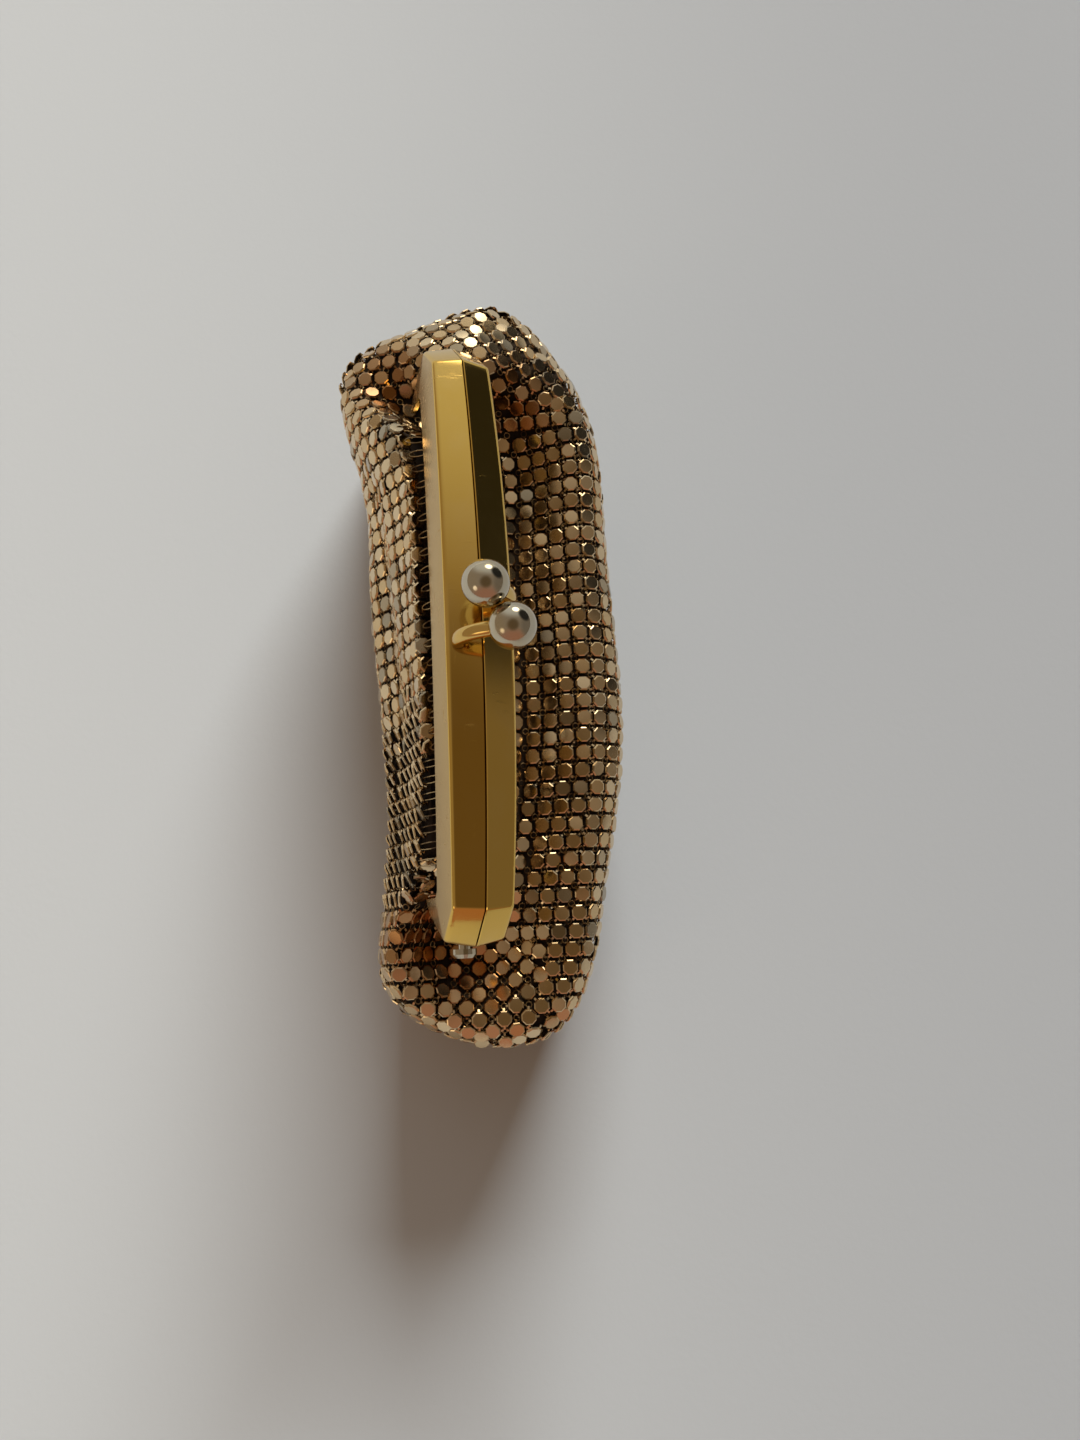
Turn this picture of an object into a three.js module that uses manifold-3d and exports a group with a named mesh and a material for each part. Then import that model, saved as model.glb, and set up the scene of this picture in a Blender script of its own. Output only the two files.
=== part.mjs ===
// Metal mesh purse: a slumped pouch of gold disc mesh hung in a hinged kiss-lock frame.
// Millimetres, +X along the frame, +Z up, the front of the purse towards -Y, standing on its flat foot.
import * as THREE from 'three';
import * as BufferGeometryUtils from 'three/addons/utils/BufferGeometryUtils.js';
import Module from 'manifold-3d';

const wasm = await Module();
wasm.setup();

// Frame: an arched bar, a chamfer at each end and a short tapering leg below it
const BAR_LENGTH = 75;
const BAR_ARCH = 3.7;
const BAR_DEPTH = 7.25;
const CHAMFER_REACH = 4.7;
const CHAMFER_DROP = 5.2;
const LEG_DROP = 13;
const LEG_TUCK = 3.6;
const LEG_TIP_WIDTH = 3.2;
const LEG_INSET = 3;
const LEG_STEP = 0.9;
const BAR_STEPS = 10;
const HALF_WIDTH_MIDDLE = 4.6;
const HALF_WIDTH_END = 4.1;
const ROOF_SLOPE = THREE.MathUtils.degToRad(12);
const METAL_WALL = 0.75;
const SEAM_GAP = 0.3;
const EDGE_ROUND = 0.5;
const SIDE_FLARE = 0.3;
const INNER_WALL_SHORTER = 1.2;
const CLEARANCE = 0.3;

// How the frame stands over the pouch
const FRAME_LEAN = THREE.MathUtils.degToRad(19.5);
const MOUTH_HEIGHT = 45;
const FRAME_ALONG = 0;
const FRAME_ACROSS = 0.4;

// Kiss-lock: two balls on flat curved stems that cross over the seam
const BALL_RADIUS = 3;
const BALL_HEIGHT = 7.3;
const BALL_SIDE = 1.6;
const STEM_FOOT_SIDE = 3.1;
const STEM_SPACING = 5.2;
const CLASP_ALONG = -1.1;
const STEM_THICKNESS = 2;
const STEM_WIDTH = 1.7;
const STEM_BOW = 1.5;
const STEM_STEPS = 6;
const STEM_SEAT_GAP = 0.45;

// Hinge pins, one at each leg, lying along X on the seam
const PIN_RADIUS = 0.8;
const PIN_HEAD_RADIUS = 1.6;
const PIN_HEAD_THICKNESS = 1.2;
const PIN_HEIGHT_IN_LEG = 2.4;
const PIN_HEAD_ROUND = 0.5;
const PIN_STAND_OUT = 1.2;
const PIN_LENGTH = PIN_STAND_OUT + LEG_TUCK + LEG_TIP_WIDTH;

// How finely round shapes are cut into flat faces, and how close two points are one point
const ROUND_SIDES = 16;
const BALL_RINGS = 12;
const MERGE_DISTANCE = 1e-4;

// Pouch: the widest outline, the wall and how the rim sits in the frame's channel
const POUCH_LENGTH = 113;
const POUCH_WIDTH = 41;
const POUCH_WALL = 1;
const RIM_DEPTH = 5.6;
const RIM_HALF_LENGTH = 35.6;
const RIM_BELOW_LEG = 1.6;
const LEG_SHARE = 0.9;
const THROAT_BELOW_BAR = 0.6;
const WAIST_SHARE = 1.08;
const WAIST_LEVEL = 0.45;
const FOOT_ROUND_SHARE = 0.05;
const FOOT_EDGE_RADIUS = 2;
const AROUND = 72;
const DOWN = 24;
const STEPS_BETWEEN_SECTIONS = 16;
const LENGTH_STEPS = 120;
const EASING_PASSES = 6;
const LINING_PASSES = 2;

// Sections round the pouch. mouth and side place the rim: mouth is the share of the rim's half length,
// side is -1 in the front channel, 1 in the back one and between them under a hinge.
// along and across place the widest outline, as shares of half the pouch's length and width.
// The outs are shares of the way from rim to outline, and the levels are shares of the mouth's height.
const SECTIONS = [
  { name: 'far end', mouth: 1, side: 0, along: 1.085, across: -0.185,
    neckOut: 0.06, neckLevel: 0.58, valleyOut: 0.2, valleyLevel: 0.61,
    crestOut: 0.38, crestLevel: 0.72, slopeOut: 0.72, slopeLevel: 0.62,
    brimLevel: 0.5, footOut: 0.82 },
  { name: 'far front corner', mouth: 1, side: -0.5, along: 0.9, across: -0.63,
    neckOut: 0.06, neckLevel: 0.56, valleyOut: 0.24, valleyLevel: 0.57,
    crestOut: 0.5, crestLevel: 0.7, slopeOut: 0.76, slopeLevel: 0.62,
    brimLevel: 0.5, footOut: 0.82 },
  { name: 'far front ridge', mouth: 0.97, side: -0.8, along: 0.765, across: -0.8,
    neckOut: 0.03, neckLevel: 0.56, valleyOut: 0.26, valleyLevel: 0.48,
    crestOut: 0.74, crestLevel: 0.66, slopeOut: 0.9, slopeLevel: 0.62,
    brimLevel: 0.52, footOut: 0.83 },
  { name: 'front at the far leg', mouth: 0.92, side: -1, along: 0.69, across: -0.955,
    neckOut: 0, neckLevel: 0.6, valleyOut: 0.24, valleyLevel: 0.44,
    crestOut: 0.82, crestLevel: 0.61, slopeOut: 0.93, slopeLevel: 0.58,
    brimLevel: 0.49, footOut: 0.84 },
  { name: 'front far quarter', mouth: 0.54, side: -1, along: 0.36, across: -0.945,
    neckOut: 0, neckLevel: 0.6, valleyOut: 0.16, valleyLevel: 0.48,
    crestOut: 0.76, crestLevel: 0.55, slopeOut: 0.91, slopeLevel: 0.52,
    brimLevel: 0.45, footOut: 0.84 },
  { name: 'front middle', mouth: 0.08, side: -1, along: 0.05, across: -0.99,
    neckOut: 0, neckLevel: 0.6, valleyOut: 0.13, valleyLevel: 0.49,
    crestOut: 0.7, crestLevel: 0.535, slopeOut: 0.89, slopeLevel: 0.5,
    brimLevel: 0.43, footOut: 0.84 },
  { name: 'front near quarter', mouth: -0.41, side: -1, along: -0.275, across: -0.985,
    neckOut: 0, neckLevel: 0.6, valleyOut: 0.14, valleyLevel: 0.48,
    crestOut: 0.66, crestLevel: 0.525, slopeOut: 0.88, slopeLevel: 0.48,
    brimLevel: 0.42, footOut: 0.84 },
  { name: 'front at the near leg', mouth: -0.9, side: -1, along: -0.59, across: -0.8,
    neckOut: 0, neckLevel: 0.6, valleyOut: 0.2, valleyLevel: 0.44,
    crestOut: 0.68, crestLevel: 0.5, slopeOut: 0.88, slopeLevel: 0.47,
    brimLevel: 0.4, footOut: 0.84 },
  { name: 'near front corner', mouth: -1, side: -0.6, along: -0.9, across: -0.63,
    neckOut: 0.08, neckLevel: 0.5, valleyOut: 0.32, valleyLevel: 0.4,
    crestOut: 0.76, crestLevel: 0.47, slopeOut: 0.92, slopeLevel: 0.44,
    brimLevel: 0.38, footOut: 0.84 },
  { name: 'near front turn', mouth: -1, side: -0.25, along: -1.01, across: -0.37,
    neckOut: 0.08, neckLevel: 0.48, valleyOut: 0.34, valleyLevel: 0.38,
    crestOut: 0.8, crestLevel: 0.46, slopeOut: 0.93, slopeLevel: 0.43,
    brimLevel: 0.37, footOut: 0.84 },
  { name: 'near end', mouth: -1, side: 0.15, along: -1.015, across: 0.16,
    neckOut: 0.1, neckLevel: 0.46, valleyOut: 0.38, valleyLevel: 0.36,
    crestOut: 0.82, crestLevel: 0.45, slopeOut: 0.94, slopeLevel: 0.42,
    brimLevel: 0.37, footOut: 0.84 },
  { name: 'near back corner', mouth: -1, side: 0.4, along: -0.94, across: 0.615,
    neckOut: 0.1, neckLevel: 0.46, valleyOut: 0.4, valleyLevel: 0.38,
    crestOut: 0.84, crestLevel: 0.5, slopeOut: 0.94, slopeLevel: 0.46,
    brimLevel: 0.39, footOut: 0.84 },
  { name: 'back at the near leg', mouth: -0.98, side: 0.8, along: -0.84, across: 0.945,
    neckOut: 0.1, neckLevel: 0.56, valleyOut: 0.3, valleyLevel: 0.47,
    crestOut: 0.66, crestLevel: 0.64, slopeOut: 0.87, slopeLevel: 0.56,
    brimLevel: 0.42, footOut: 0.82 },
  { name: 'back near quarter', mouth: -0.84, side: 1, along: -0.55, across: 0.765,
    neckOut: 0.03, neckLevel: 0.81, valleyOut: 0.11, valleyLevel: 0.82,
    crestOut: 0.3, crestLevel: 0.86, slopeOut: 0.66, slopeLevel: 0.64,
    brimLevel: 0.42, footOut: 0.8 },
  { name: 'back near middle', mouth: -0.42, side: 1, along: -0.27, across: 0.745,
    neckOut: 0.03, neckLevel: 0.84, valleyOut: 0.1, valleyLevel: 0.84,
    crestOut: 0.27, crestLevel: 0.89, slopeOut: 0.63, slopeLevel: 0.66,
    brimLevel: 0.44, footOut: 0.78 },
  { name: 'back middle', mouth: 0, side: 1, along: 0.035, across: 0.82,
    neckOut: 0.03, neckLevel: 0.84, valleyOut: 0.1, valleyLevel: 0.84,
    crestOut: 0.27, crestLevel: 0.9, slopeOut: 0.63, slopeLevel: 0.68,
    brimLevel: 0.46, footOut: 0.78 },
  { name: 'back far middle', mouth: 0.5, side: 1, along: 0.33, across: 0.85,
    neckOut: 0.03, neckLevel: 0.83, valleyOut: 0.1, valleyLevel: 0.83,
    crestOut: 0.27, crestLevel: 0.89, slopeOut: 0.63, slopeLevel: 0.72,
    brimLevel: 0.5, footOut: 0.78 },
  { name: 'back far quarter', mouth: 0.86, side: 1, along: 0.47, across: 0.78,
    neckOut: 0.04, neckLevel: 0.78, valleyOut: 0.12, valleyLevel: 0.79,
    crestOut: 0.31, crestLevel: 0.87, slopeOut: 0.66, slopeLevel: 0.75,
    brimLevel: 0.55, footOut: 0.8 },
  { name: 'back at the far leg', mouth: 0.98, side: 0.8, along: 0.62, across: 0.96,
    neckOut: 0.05, neckLevel: 0.67, valleyOut: 0.18, valleyLevel: 0.69,
    crestOut: 0.42, crestLevel: 0.79, slopeOut: 0.76, slopeLevel: 0.72,
    brimLevel: 0.58, footOut: 0.8 },
  { name: 'far back corner', mouth: 1, side: 0.45, along: 0.9, across: 1.06,
    neckOut: 0.06, neckLevel: 0.6, valleyOut: 0.28, valleyLevel: 0.56,
    crestOut: 0.62, crestLevel: 0.56, slopeOut: 0.88, slopeLevel: 0.56,
    brimLevel: 0.52, footOut: 0.8 },
  { name: 'far back turn', mouth: 1, side: 0.2, along: 0.955, across: 0.425,
    neckOut: 0.06, neckLevel: 0.58, valleyOut: 0.22, valleyLevel: 0.58,
    crestOut: 0.46, crestLevel: 0.67, slopeOut: 0.76, slopeLevel: 0.64,
    brimLevel: 0.55, footOut: 0.82 },
];

// Folds: at and span are shares of the way round from the far end, row and width are shares of the way
// down from rim to foot, and height is how far the fold stands out (or in, where it is negative).
const FOLD_HEIGHT = 0.8;
const FOLDS = [
  { name: 'upper back pleat', at: 0.76, span: 0.12, row: 0.36, width: 0.05, height: 0.8 },
  { name: 'upper back furrow', at: 0.76, span: 0.12, row: 0.46, width: 0.05, height: -0.8 },
  { name: 'lower back pleat', at: 0.7, span: 0.12, row: 0.56, width: 0.05, height: 0.6 },
  { name: 'front crease', at: 0.36, span: 0.12, row: 0.52, width: 0.035, height: -1 },
];

const BRASS = { color: 0xb8913f, roughness: 0.16, metalness: 1 };
const SILVER = { color: 0xc9c2b2, roughness: 0.12, metalness: 1 };
const MESH_GOLD = { color: 0xa8875f, roughness: 0.32, metalness: 0.9 };

const halfBar = BAR_LENGTH / 2;

// The frame group leans about X, so its top goes towards the front
function placedFrame() {
  const group = new THREE.Group();
  group.position.set(FRAME_ALONG, FRAME_ACROSS, MOUTH_HEIGHT);
  group.rotation.x = FRAME_LEAN;
  group.updateMatrixWorld(true);
  return group;
}

const frameGroup = placedFrame();

// One value of a smooth curve through four neighbouring values
function smooth(before, from, to, after, share) {
  const slope = to - before;
  const bend = 2 * before - 5 * from + 4 * to - after;
  const twist = 3 * from - before - 3 * to + after;
  return from + 0.5 * share * (slope + share * (bend + share * twist));
}

// A closed triangle mesh whose faces are turned outwards
function closedMesh(points, faces) {
  const positions = new Float32Array(points.flatMap((point) => point.toArray()));
  let volume = 0;
  for (const [a, b, c] of faces) {
    volume += points[a].dot(new THREE.Vector3().crossVectors(points[b], points[c]));
  }
  const turned = volume < 0 ? faces.map(([a, b, c]) => [a, c, b]) : faces;
  const geometry = new THREE.BufferGeometry();
  geometry.setAttribute('position', new THREE.BufferAttribute(positions, 3));
  geometry.setIndex(turned.flat());
  return geometry;
}

// Sections of equal count joined into a closed body, its two end sections filled in
function loft(sections, outline) {
  const count = outline.length;
  const points = sections.flat();
  const faces = [];
  for (let row = 0; row < sections.length - 1; row += 1) {
    for (let side = 0; side < count; side += 1) {
      const next = (side + 1) % count;
      const corner = row * count;
      faces.push([corner + side, corner + next, corner + count + next]);
      faces.push([corner + side, corner + count + next, corner + count + side]);
    }
  }
  const last = (sections.length - 1) * count;
  for (const [a, b, c] of THREE.ShapeUtils.triangulateShape(outline, [])) {
    faces.push([c, b, a]);
    faces.push([last + a, last + b, last + c]);
  }
  return closedMesh(points, faces);
}

function toSolid(geometry) {
  const bare = geometry.clone();
  bare.deleteAttribute('normal');
  bare.deleteAttribute('uv');
  const merged = BufferGeometryUtils.mergeVertices(bare, MERGE_DISTANCE);
  return new wasm.Manifold(new wasm.Mesh({
    numProp: 3,
    vertProperties: new Float32Array(merged.attributes.position.array),
    triVerts: new Uint32Array(merged.index.array),
  }));
}

function fromSolid(solid) {
  const mesh = solid.getMesh();
  const geometry = new THREE.BufferGeometry();
  geometry.setAttribute('position', new THREE.BufferAttribute(mesh.vertProperties.slice(), 3));
  geometry.setIndex([...mesh.triVerts]);
  return geometry;
}

function namedMesh(name, geometry, finish) {
  geometry.computeVertexNormals();
  const mesh = new THREE.Mesh(geometry, new THREE.MeshStandardMaterial(finish));
  mesh.name = name;
  return mesh;
}

// Frame

function barTop(x) {
  return BAR_ARCH * (1 - (x / halfBar) ** 2);
}

function halfWidthAt(x) {
  const share = Math.min(1, Math.abs(x) / halfBar);
  return THREE.MathUtils.lerp(HALF_WIDTH_MIDDLE, HALF_WIDTH_END, share ** 2);
}

// Stations of the frame's side view from one leg tip to the other: the outer edge and the open edge
function frameStations() {
  const knee = halfBar + CHAMFER_REACH;
  const tip = knee - LEG_TUCK;
  const openHalf = halfBar - LEG_INSET;
  const end = [
    { outer: [tip, -LEG_DROP], open: [tip - LEG_TIP_WIDTH, -LEG_DROP] },
    { outer: [knee, -CHAMFER_DROP], open: [openHalf + LEG_STEP, -BAR_DEPTH - LEG_STEP] },
    { outer: [halfBar, 0], open: [openHalf, -BAR_DEPTH] },
  ];
  const bar = [];
  for (let step = 1; step < BAR_STEPS; step += 1) {
    const share = 1 - (2 * step) / BAR_STEPS;
    const top = barTop(share * halfBar);
    bar.push({ outer: [share * halfBar, top], open: [share * openHalf, top - BAR_DEPTH] });
  }
  const mirrored = end.map(({ outer, open }) => (
    { outer: [-outer[0], outer[1]], open: [-open[0], open[1]] }
  ));
  return [...end, ...bar, ...mirrored.reverse()];
}

// Cross-section of one half of the frame: across from the seam, deep from the outer edge
function channelProfile(halfWidth, depth) {
  const inner = SEAM_GAP / 2;
  const slope = Math.tan(ROOF_SLOPE);
  return [
    [inner, 0],
    [halfWidth - EDGE_ROUND, (halfWidth - EDGE_ROUND) * slope],
    [halfWidth, halfWidth * slope + EDGE_ROUND],
    [halfWidth + SIDE_FLARE, depth],
    [halfWidth + SIDE_FLARE - METAL_WALL, depth],
    [halfWidth - METAL_WALL, halfWidth * slope + METAL_WALL],
    [inner + METAL_WALL, METAL_WALL + METAL_WALL * slope],
    [inner + METAL_WALL, depth - INNER_WALL_SHORTER],
    [inner, depth - INNER_WALL_SHORTER],
  ];
}

function frameHalf(side) {
  const sections = frameStations().map(({ outer, open }) => {
    const depth = Math.hypot(open[0] - outer[0], open[1] - outer[1]);
    const along = (open[0] - outer[0]) / depth;
    const down = (open[1] - outer[1]) / depth;
    return channelProfile(halfWidthAt(outer[0]), depth).map(([across, deep]) => (
      new THREE.Vector3(outer[0] + along * deep, side * across, outer[1] + down * deep)
    ));
  });
  const outline = channelProfile(HALF_WIDTH_MIDDLE, BAR_DEPTH).map(([x, y]) => new THREE.Vector2(x, y));
  return loft(sections, outline);
}

// Hinge pins

// A turned shape about a hinge's axis, its profile given as distance from the axis and distance inwards
function turnedAtHinge(end, profile) {
  const points = profile.map(([out, along]) => new THREE.Vector2(out, along));
  const turned = new THREE.LatheGeometry(points, ROUND_SIDES);
  turned.rotateZ(end * Math.PI / 2);
  turned.translate(end * (halfBar + CHAMFER_REACH + PIN_STAND_OUT), 0, PIN_HEIGHT_IN_LEG - LEG_DROP);
  return turned;
}

// A pin from its rounded head outside the leg to its tail inside it
function pinGeometry(end) {
  return turnedAtHinge(end, [
    [0, 0],
    [PIN_HEAD_RADIUS - PIN_HEAD_ROUND, 0],
    [PIN_HEAD_RADIUS, PIN_HEAD_ROUND],
    [PIN_HEAD_RADIUS, PIN_HEAD_THICKNESS],
    [PIN_RADIUS, PIN_HEAD_THICKNESS],
    [PIN_RADIUS, PIN_LENGTH],
    [0, PIN_LENGTH],
  ]);
}

function pinHole(end) {
  const radius = PIN_RADIUS + CLEARANCE;
  const length = PIN_LENGTH + CLEARANCE;
  return turnedAtHinge(end, [[0, 0], [radius, 0], [radius, length], [0, length]]);
}

function drilled(geometry) {
  let solid = toSolid(geometry);
  for (const end of [1, -1]) {
    solid = solid.subtract(toSolid(pinHole(end)));
  }
  return fromSolid(solid);
}

// Kiss-lock

// A flat arm that starts over one half of the frame, bows outwards and crosses to the ball
function stemShape(foot, bow, ball) {
  const curve = new THREE.QuadraticBezierCurve(foot, bow, ball);
  const edge = (reach) => curve.getPoints(STEM_STEPS).map((point, index) => {
    const tangent = curve.getTangent(index / STEM_STEPS);
    return point.addScaledVector(new THREE.Vector2(-tangent.y, tangent.x), reach);
  });
  return new THREE.Shape([...edge(STEM_WIDTH / 2), ...edge(-STEM_WIDTH / 2).reverse()]);
}

function knobGeometry(side) {
  const seat = BAR_ARCH - STEM_FOOT_SIDE * Math.tan(ROOF_SLOPE) + STEM_SEAT_GAP;
  const foot = new THREE.Vector2(side * STEM_FOOT_SIDE, seat);
  const ball = new THREE.Vector2(-side * BALL_SIDE, BAR_ARCH + BALL_HEIGHT);
  const bow = new THREE.Vector2(side * (STEM_FOOT_SIDE + STEM_BOW), (foot.y + ball.y) / 2);
  const flat = { depth: STEM_THICKNESS, bevelEnabled: false };
  const stem = new THREE.ExtrudeGeometry(stemShape(foot, bow, ball), flat);
  stem.translate(0, 0, -STEM_THICKNESS / 2);
  stem.rotateX(Math.PI / 2);
  stem.rotateZ(Math.PI / 2);
  const round = new THREE.SphereGeometry(BALL_RADIUS, ROUND_SIDES, BALL_RINGS);
  round.rotateX(Math.PI / 2);
  round.translate(0, ball.x, ball.y);
  const joined = fromSolid(toSolid(stem).add(toSolid(round)));
  joined.translate(CLASP_ALONG - side * STEM_SPACING / 2, 0, 0);
  return joined;
}

// Pouch

// The section at a place round the pouch, worked out between the given sections
function sectionAt(place) {
  const count = SECTIONS.length;
  const from = Math.floor(place);
  const pick = (offset) => SECTIONS[(((from + offset) % count) + count) % count];
  const [before, start, stop, after] = [pick(-1), pick(0), pick(1), pick(2)];
  const section = {};
  for (const column of Object.keys(start)) {
    if (column === 'name') continue;
    section[column] = smooth(before[column], start[column], stop[column], after[column], place - from);
  }
  section.mouth = THREE.MathUtils.clamp(section.mouth, -1, 1);
  section.side = THREE.MathUtils.clamp(section.side, -1, 1);
  return section;
}

function brimPoint(section) {
  return new THREE.Vector2(section.along * POUCH_LENGTH / 2, section.across * POUCH_WIDTH / 2);
}

// The pouch's outside lies just inside the outer wall of the frame's channel
function channelPoint(section, drop) {
  const x = section.mouth * RIM_HALF_LENGTH;
  const across = halfWidthAt(x) + SIDE_FLARE / 2 - METAL_WALL - CLEARANCE;
  const underLeg = THREE.MathUtils.smoothstep(Math.abs(section.mouth), LEG_SHARE, 1);
  const up = THREE.MathUtils.lerp(barTop(x) - RIM_DEPTH, -LEG_DROP - RIM_BELOW_LEG, underLeg);
  return frameGroup.localToWorld(new THREE.Vector3(x, section.side * across, up - drop));
}

// The points that a section's curve goes through, from the rim to the foot
function sectionPoints(section) {
  const rim = channelPoint(section, 0);
  const outline = brimPoint(section);
  const at = (out, height) => new THREE.Vector3(
    THREE.MathUtils.lerp(rim.x, outline.x, out),
    THREE.MathUtils.lerp(rim.y, outline.y, out),
    height,
  );
  const brim = section.brimLevel * MOUTH_HEIGHT;
  return [
    rim,
    channelPoint(section, BAR_DEPTH - RIM_DEPTH + THROAT_BELOW_BAR),
    at(section.neckOut, section.neckLevel * MOUTH_HEIGHT),
    at(section.valleyOut, section.valleyLevel * MOUTH_HEIGHT),
    at(section.crestOut, section.crestLevel * MOUTH_HEIGHT),
    at(section.slopeOut, section.slopeLevel * MOUTH_HEIGHT),
    at(1, brim),
    at((WAIST_SHARE + section.footOut) / 2, brim * WAIST_LEVEL),
    at(section.footOut + FOOT_ROUND_SHARE, FOOT_EDGE_RADIUS),
    at(section.footOut, 0),
  ];
}

// Places round the pouch that are evenly spaced along its widest outline
function evenPlaces(amount) {
  const fine = SECTIONS.length * STEPS_BETWEEN_SECTIONS;
  const lengths = [0];
  let last = brimPoint(sectionAt(0));
  for (let step = 1; step <= fine; step += 1) {
    const point = brimPoint(sectionAt((step * SECTIONS.length) / fine));
    lengths.push(lengths[step - 1] + point.distanceTo(last));
    last = point;
  }
  const places = [];
  let step = 0;
  for (let index = 0; index < amount; index += 1) {
    const wanted = (index / amount) * lengths[fine];
    while (lengths[step + 1] < wanted) step += 1;
    const share = (wanted - lengths[step]) / (lengths[step + 1] - lengths[step]);
    places.push(((step + share) * SECTIONS.length) / fine);
  }
  return places;
}

// Points down one section, evenly spaced from the rim to the foot
function pointsDown(place) {
  const path = new THREE.CatmullRomCurve3(sectionPoints(sectionAt(place)), false, 'centripetal');
  path.arcLengthDivisions = LENGTH_STEPS;
  return path.getSpacedPoints(DOWN).map((point) => {
    point.z = Math.max(0, point.z);
    return point;
  });
}

function gridNormal(grid, column, row) {
  const wide = grid.length;
  const left = grid[(column + wide - 1) % wide][row];
  const right = grid[(column + 1) % wide][row];
  const above = grid[column][Math.max(0, row - 1)];
  const below = grid[column][Math.min(grid[column].length - 1, row + 1)];
  const across = new THREE.Vector3().subVectors(right, left);
  const down = new THREE.Vector3().subVectors(below, above);
  return new THREE.Vector3().crossVectors(across, down).normalize();
}

function foldAt(share, row) {
  let height = 0;
  for (const fold of FOLDS) {
    const away = Math.abs(share - fold.at) / fold.span;
    const lengthwise = away < 1 ? Math.cos(away * Math.PI / 2) ** 2 : 0;
    height += fold.height * lengthwise * Math.exp(-(((row - fold.row) / fold.width) ** 2));
  }
  return height * FOLD_HEIGHT;
}

// The mesh can't crease sharply, so each point is drawn towards its two neighbours round the pouch
function eased(grid, passes) {
  const wide = grid.length;
  let lines = grid;
  for (let pass = 0; pass < passes; pass += 1) {
    lines = lines.map((line, column) => line.map((point, row) => {
      const middle = lines[(column + wide - 1) % wide][row].clone().add(lines[(column + 1) % wide][row]);
      return point.clone().lerp(middle.multiplyScalar(0.5), 0.5);
    }));
  }
  return lines;
}

function pouchSurface() {
  const plain = eased(evenPlaces(AROUND).map(pointsDown), EASING_PASSES);
  return plain.map((line, column) => line.map((point, row) => {
    const height = foldAt(column / AROUND, row / DOWN);
    return point.clone().addScaledVector(gridNormal(plain, column, row), height);
  }));
}

function pouchGeometry() {
  const outside = pouchSurface();
  const inside = eased(outside.map((line, column) => line.map((point, row) => {
    const moved = point.clone().addScaledVector(gridNormal(outside, column, row), -POUCH_WALL);
    moved.z = Math.max(moved.z, POUCH_WALL);
    return moved;
  })), LINING_PASSES);
  const points = [];
  const faces = [];
  const addGrid = (grid) => {
    const first = points.length;
    for (const line of grid) points.push(...line);
    return (column, row) => first + (column % AROUND) * (DOWN + 1) + row;
  };
  const outer = addGrid(outside);
  const inner = addGrid(inside);
  const addCell = (a, b, c, d) => faces.push([a, b, c], [a, c, d]);
  for (let column = 0; column < AROUND; column += 1) {
    for (let row = 0; row < DOWN; row += 1) {
      addCell(outer(column, row), outer(column + 1, row), outer(column + 1, row + 1), outer(column, row + 1));
      addCell(inner(column, row), inner(column, row + 1), inner(column + 1, row + 1), inner(column + 1, row));
    }
    addCell(outer(column, 0), inner(column, 0), inner(column + 1, 0), outer(column + 1, 0));
  }
  const under = points.push(new THREE.Vector3(0, 0, 0)) - 1;
  const floor = points.push(new THREE.Vector3(0, 0, POUCH_WALL)) - 1;
  for (let column = 0; column < AROUND; column += 1) {
    faces.push([outer(column, DOWN), outer(column + 1, DOWN), under]);
    faces.push([inner(column + 1, DOWN), inner(column, DOWN), floor]);
  }
  return closedMesh(points, faces);
}

// Assembly

const pouch = namedMesh('mesh_pouch', pouchGeometry(), MESH_GOLD);
frameGroup.add(namedMesh('frame_front', drilled(frameHalf(-1)), BRASS));
frameGroup.add(namedMesh('frame_back', drilled(frameHalf(1)), BRASS));
frameGroup.add(namedMesh('clasp_knob_front', knobGeometry(-1), SILVER));
frameGroup.add(namedMesh('clasp_knob_back', knobGeometry(1), SILVER));
frameGroup.add(namedMesh('hinge_pin_far', pinGeometry(1), BRASS));
frameGroup.add(namedMesh('hinge_pin_near', pinGeometry(-1), BRASS));

// The origin lies on the floor under the middle of the pouch
pouch.geometry.computeBoundingBox();
const middle = pouch.geometry.boundingBox.getCenter(new THREE.Vector3());
const standing = new THREE.Group();
standing.position.set(-middle.x, -middle.y, 0);
standing.add(pouch);
standing.add(frameGroup);

const purse = new THREE.Group();
purse.add(standing);

export default purse;
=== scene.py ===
# %% [markdown]
# A metal mesh purse, built on a fixed frame.
# The engineering model gives the sizes and places. This script dresses it: every disc of the mesh,
# the rings between them, the polished frame, the two worn balls of the kiss-lock, and soft light.
# Lengths are worked out in millimetres and turned into metres only when a mesh is made. The floor and
# the window are the exception: they are as large as a room, and are given in metres.

import math

import bpy
import numpy as np
from mathutils import Matrix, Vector
from mathutils.bvhtree import BVHTree


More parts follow.
